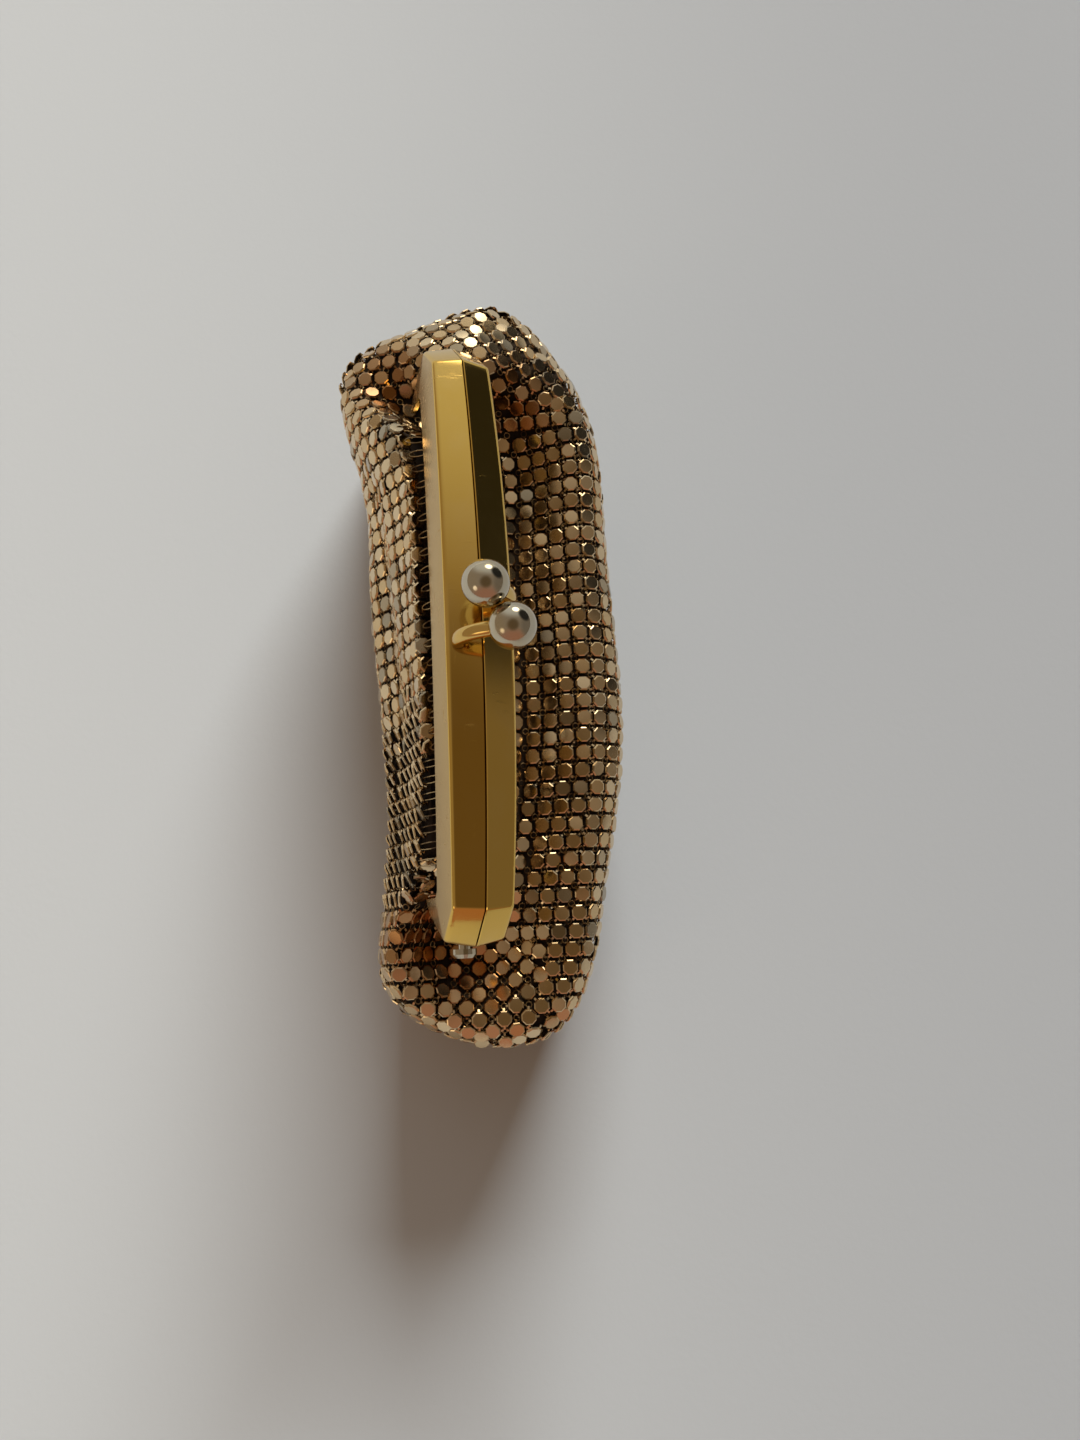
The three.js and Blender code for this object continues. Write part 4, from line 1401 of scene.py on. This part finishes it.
front_half = make_frame_half("frame_front_shell", -1)
back_half = make_frame_half("frame_back_shell", 1)

# %% [markdown]
# The kiss-lock is two balls on flat arms. Each arm starts on one half, crosses the seam, and the balls
# snap past each other. The ball and arm are one casting, so they are one mesh. The CAD balls have few
# faces, which a polished ball would show, so both are made again with many.

# %% Make the kiss-lock
BALL_RADIUS = 3
BALL_HEIGHT = 7.3
BALL_SIDE = 1.6
STEM_FOOT_SIDE = 3.1
STEM_SPACING = 5.2
CLASP_ALONG = -1.1
STEM_THICKNESS = 2
STEM_WIDTH = 1.7
STEM_BOW = 1.5
STEM_SEAT_GAP = 0.1
STEM_SQUARENESS = 2.3
BALL_SIDES = 48
BALL_RINGS = 32
STEM_RINGS = 20
STEM_SIDES = 16
ARM_TONE = 0.9
KNOB_EDGE_ANGLE = math.radians(50)


def ball_mesh(centre):
    points = [(0, 0, 1)]
    for ring_number in range(1, BALL_RINGS):
        lean = math.pi * ring_number / BALL_RINGS
        for side in range(BALL_SIDES):
            angle = 2 * math.pi * side / BALL_SIDES
            level = math.sin(lean)
            points.append((level * math.cos(angle), level * math.sin(angle), math.cos(lean)))
    points.append((0, 0, -1))
    bottom = len(points) - 1
    last = bottom - BALL_SIDES
    faces = grid_faces(BALL_RINGS - 1, BALL_SIDES, first=1)
    for side in range(BALL_SIDES):
        after = (side + 1) % BALL_SIDES
        faces += [(0, 1 + side, 1 + after), (last + side, bottom, last + after)]
    return np.array(points) * BALL_RADIUS + centre, faces


def squared_radius(angle):
    """Outline of a square with well rounded corners."""
    spread = abs(math.cos(angle)) ** STEM_SQUARENESS + abs(math.sin(angle)) ** STEM_SQUARENESS
    return spread ** (-1 / STEM_SQUARENESS)


def stem_mesh(side, along, ball):
    """A flat arm with rounded edges, swept along a curve that lies across the frame."""
    seat = BAR_ARCH - STEM_FOOT_SIDE * math.tan(ROOF_SLOPE) + STEM_SEAT_GAP
    foot = np.array([side * STEM_FOOT_SIDE, seat])
    stop = np.array([ball[1], ball[2]])
    bow = np.array([side * (STEM_FOOT_SIDE + STEM_BOW), (foot[1] + stop[1]) / 2])
    points = []
    for step in range(STEM_RINGS + 1):
        share = step / STEM_RINGS
        middle = bent_between(foot, bow, stop, share)
        ahead = 2 * (1 - share) * (bow - foot) + 2 * share * (stop - bow)
        ahead /= np.linalg.norm(ahead)
        normal = np.array([-ahead[1], ahead[0]])
        for corner in range(STEM_SIDES):
            angle = 2 * math.pi * corner / STEM_SIDES
            reach = squared_radius(angle)
            out = normal * math.cos(angle) * reach * STEM_WIDTH / 2
            points.append((along + math.sin(angle) * reach * STEM_THICKNESS / 2, *(middle + out)))
    return np.array(points), tube_faces(STEM_RINGS + 1, STEM_SIDES)


def make_knob(name, side):
    along = CLASP_ALONG - side * STEM_SPACING / 2
    centre = np.array([along, -side * BALL_SIDE, BAR_ARCH + BALL_HEIGHT])
    ball_points, ball_faces = ball_mesh(centre)
    stem_points, stem_faces = stem_mesh(side, along, centre)
    offset = len(ball_points)
    faces = ball_faces + [tuple(offset + index for index in face) for face in stem_faces]
    points = leaned(np.vstack([ball_points, stem_points]))
    tone = np.concatenate([np.zeros(len(ball_points)), np.full(len(stem_points), ARM_TONE)])
    return mesh_piece(name, points, faces, ball_silver, tone, KNOB_EDGE_ANGLE)


front_knob = make_knob("kiss_ball_front", -1)
back_knob = make_knob("kiss_ball_back", 1)

# %% [markdown]
# Two rivets join the halves at the leg ends. They barely show, so they keep their CAD shape, and only take
# the silver of the balls.

# %% Dress the hinge pins
for pin_name in ("hinge_pin_far", "hinge_pin_near"):
    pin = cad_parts[pin_name]
    pin.data.materials.clear()
    pin.data.materials.append(ball_silver)
    pin.data.polygons.foreach_set("use_smooth", np.ones(len(pin.data.polygons), dtype=bool))

# %% [markdown]
# The first row of discs hangs from the frame by small wire hooks, one for each column. Beside the back
# half they show as fine loops over a black gap. Each is a thin tube along a line of points. A bevelled
# curve would do as well, but tubes can be joined into one mesh with the others.

# %% Make the wire hooks
HOOK_WIRE = 0.09
HOOK_START_UP = 0.8
FRONT_HOOK_LENGTH = 1.9
HOOK_SIDES = 6
HOOK_STEPS = 8
HOOK_SPREAD = 0.45
HOOK_REACH = 33
NEVER_ALONG_A_HOOK = (0.3, 0.2, 0.93)


def hook_tube(line):
    """A closed-ended wire along a line of points."""
    ahead = np.gradient(line, axis=0)
    ahead /= np.linalg.norm(ahead, axis=1, keepdims=True)
    beside = np.cross(ahead, NEVER_ALONG_A_HOOK)
    beside /= np.linalg.norm(beside, axis=1, keepdims=True)
    above = np.cross(beside, ahead)
    angles = (2 * math.pi * np.arange(HOOK_SIDES) / HOOK_SIDES)[None, :, None]
    out = np.cos(angles) * beside[:, None, :] + np.sin(angles) * above[:, None, :]
    points = (line[:, None, :] + HOOK_WIRE * out).reshape(-1, 3)
    return points, tube_faces(len(line), HOOK_SIDES)


def hook_line(points, side):
    """One hook: out of the channel, round the first disc's edge and back."""
    lengths = walked(points)
    first_row = FRONT_HOOK_LENGTH
    if side > 0:
        first_row = crest_length(points, lengths) - FIRST_ROW_BEFORE_CREST
    stop = point_at(first_row, lengths, points)
    start = points[0] + np.array([0, 0, HOOK_START_UP])
    line = []
    for step in range(2 * HOOK_STEPS + 1):
        turn = math.pi * step / HOOK_STEPS
        share = 0.5 - 0.5 * math.cos(turn)
        line.append(start + (stop - start) * share + np.array([math.sin(turn) * HOOK_SPREAD, 0, 0]))
    return np.array(line)


def make_hooks():
    points = []
    faces = []
    for side in (-1, 1):
        for x, _ in panel_columns(side, 0):
            if abs(x) > HOOK_REACH:
                continue
            profile, _, _ = cut_across(x, side)
            hook_points, hook_faces = hook_tube(hook_line(profile, side))
            offset = sum(len(part) for part in points)
            points.append(hook_points)
            faces += [tuple(offset + index for index in face) for face in hook_faces]
    print("hooks:", len(points))
    return mesh_piece("wire_hooks", np.vstack(points), faces, link_wire)


hooks = make_hooks()

# %% [markdown]
# Every piece is tied to the CAD body that carries it, and the CAD piece that it replaces is hidden. The
# hooks replace none of them, because the CAD model has no hooks.

# %% Tie the pieces to the CAD model
for piece in (*wall_pieces, *foot_pieces, lining):
    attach(piece, "root")
    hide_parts("mesh_pouch")
for piece, node in ((front_half, "frame_front"), (back_half, "frame_back")):
    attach(piece, "root")
    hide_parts(node)
for piece, node in ((front_knob, "clasp_knob_front"), (back_knob, "clasp_knob_back")):
    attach(piece, "root")
    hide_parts(node)
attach(hooks, "root")

# %% [markdown]
# The purse stands on a plain pale floor. One plane is enough, large enough to reach past any view. Its
# colour is lighter on one side and darker on the other: a painted fall-off of light, as light falls off in a
# room. A fine bump takes off the look of a perfect surface.

# %% Floor
FLOOR_SIZE = 6.0
FLOOR_PAINTED_LIGHT_LEFT = (0.66, 0.65, 0.64, 1.0)
FLOOR_PAINTED_SHADE_RIGHT = (0.465, 0.46, 0.465, 1.0)
PAINTED_LIGHT_FADE_REACH = 0.12


def make_floor():
    bpy.ops.mesh.primitive_plane_add(size=FLOOR_SIZE)
    floor = bpy.context.object
    floor.name = "floor"
    material = bpy.data.materials.new("pale floor")
    material.use_nodes = True
    tree = material.node_tree
    shader = tree.nodes["Principled BSDF"]
    where = object_coordinates(tree)
    split = tree.nodes.new("ShaderNodeSeparateXYZ")
    tree.links.new(where, split.inputs["Vector"])
    # Painted light and shade: the floor's colour fades from lighter on the left to darker on the right.
    painted_light_leftward = between(tree, split.outputs["Y"], -PAINTED_LIGHT_FADE_REACH, PAINTED_LIGHT_FADE_REACH)
    tree.links.new(colour_mix(tree, painted_light_leftward, FLOOR_PAINTED_SHADE_RIGHT, FLOOR_PAINTED_LIGHT_LEFT), shader.inputs["Base Color"])
    shader.inputs["Roughness"].default_value = 0.8
    shader.inputs["Specular IOR Level"].default_value = 0.15
    grain = noise(tree, where, 900.0, detail=3.0)
    bumped(tree, shader, grain, strength=0.06, distance=0.3 * MM)
    floor.data.materials.append(material)
    return floor


floor = make_floor()

# %% [markdown]
# Daylight comes from one window, low over the far end. The lamp is far away, so the floor is lit evenly
# and the shadow keeps one direction. The metal doesn't mirror the lamp, which would burn white spots.
# It mirrors a gentler pane painted on the room instead.

# %% Light from the window
WINDOW_DISTANCE = 8
WINDOW_AZIMUTH = math.radians(-15)
WINDOW_ELEVATION = math.radians(22)
WINDOW_SIZE = (4.2, 2.4)
WINDOW_POWER = 1120.0
WINDOW_COLOUR = (0.86, 0.96, 1.0)


def make_window():
    data = bpy.data.lights.new("window", "AREA")
    data.shape = "RECTANGLE"
    data.size, data.size_y = WINDOW_SIZE
    data.energy = WINDOW_POWER
    data.color = WINDOW_COLOUR
    light = bpy.data.objects.new("window", data)
    away = np.array([
        math.cos(WINDOW_ELEVATION) * math.cos(WINDOW_AZIMUTH),
        math.cos(WINDOW_ELEVATION) * math.sin(WINDOW_AZIMUTH),
        math.sin(WINDOW_ELEVATION),
    ])
    side = np.cross([0, 0, 1.0], away)
    side /= np.linalg.norm(side)
    upward = np.cross(away, side)
    basis = Matrix([list(row) for row in np.stack([side, upward, away], axis=1)])
    place = Matrix.Translation([float(value) * WINDOW_DISTANCE for value in away])
    light.matrix_world = place @ basis.to_4x4()
    bpy.context.scene.collection.objects.link(light)
    light.visible_glossy = False
    return light


window = make_window()

# %% [markdown]
# Polished metal shows the room, so the room is painted on the world by direction: a dim ceiling, paler and
# darker walls, a near black doorway that the right roof of the frame mirrors, and a dark patch overhead.
# Each part is a soft round spot, full inside its inner angle and gone outside its outer angle.
# The camera itself sees a plain pale backdrop beyond the floor: Light Path tells its rays from the others.

# %% Room round the purse
BACKDROP = (0.5, 0.49, 0.48, 1.0)
ROOM_CEILING = (0.28, 0.23, 0.18, 1.0)
# Each part's direction, its colour, and its inner and outer angles in degrees.
ROOM_PARTS = {
    "wall with the window": ((1, -0.1, 0.15), (0.6, 0.6, 0.58, 1.0), 20, 65),
    "window pane": ((0.9, -0.24, 0.37), (4.6, 4.2, 3.5, 1.0), 7, 15),
    "pale wall": ((0.1, 1, 0.15), (0.3, 0.24, 0.175, 1.0), 15, 60),
    "far lamp": ((-0.5, 0.75, 0.45), (1.6, 1.35, 1.0, 1.0), 5, 13),
    "dim room": ((-1, 0, 0.1), (0.37, 0.19, 0.13, 1.0), 20, 70),
    "grey wall": ((-0.1, -1, 0.2), (0.19, 0.16, 0.13, 1.0), 20, 50),
    "dark doorway": ((0.55, -0.75, 0.35), (0.025, 0.024, 0.022, 1.0), 17, 30),
    "dark patch": ((-0.2, -0.05, 0.97), (0.13, 0.09, 0.05, 1.0), 14, 36),
}


def spot_mask(tree, direction, toward, inner, outer):
    """1 within the inner angle of a direction, 0 beyond the outer one."""
    length = math.hypot(*toward)
    dot = place_node(tree, "ShaderNodeVectorMath", operation="DOT_PRODUCT")
    dot.inputs[1].default_value = [value / length for value in toward]
    tree.links.new(direction, dot.inputs[0])
    edge, core = (math.cos(math.radians(angle)) for angle in (outer, inner))
    return between(tree, dot.outputs["Value"], edge, core)


def make_room():
    world = bpy.data.worlds.new("soft room")
    world.use_nodes = True
    bpy.context.scene.world = world
    tree = world.node_tree
    direction = tree.nodes.new("ShaderNodeTexCoord").outputs["Generated"]
    colour = ROOM_CEILING
    for toward, part_colour, inner, outer in ROOM_PARTS.values():
        mask = spot_mask(tree, direction, toward, inner, outer)
        colour = colour_mix(tree, mask, colour, part_colour)
    seen = tree.nodes.new("ShaderNodeLightPath").outputs["Is Camera Ray"]
    tree.links.new(colour_mix(tree, seen, colour, BACKDROP), tree.nodes["Background"].inputs["Color"])
    print("parts of the room:", len(ROOM_PARTS))


make_room()
bpy.context.scene.view_settings.view_transform = "Standard"
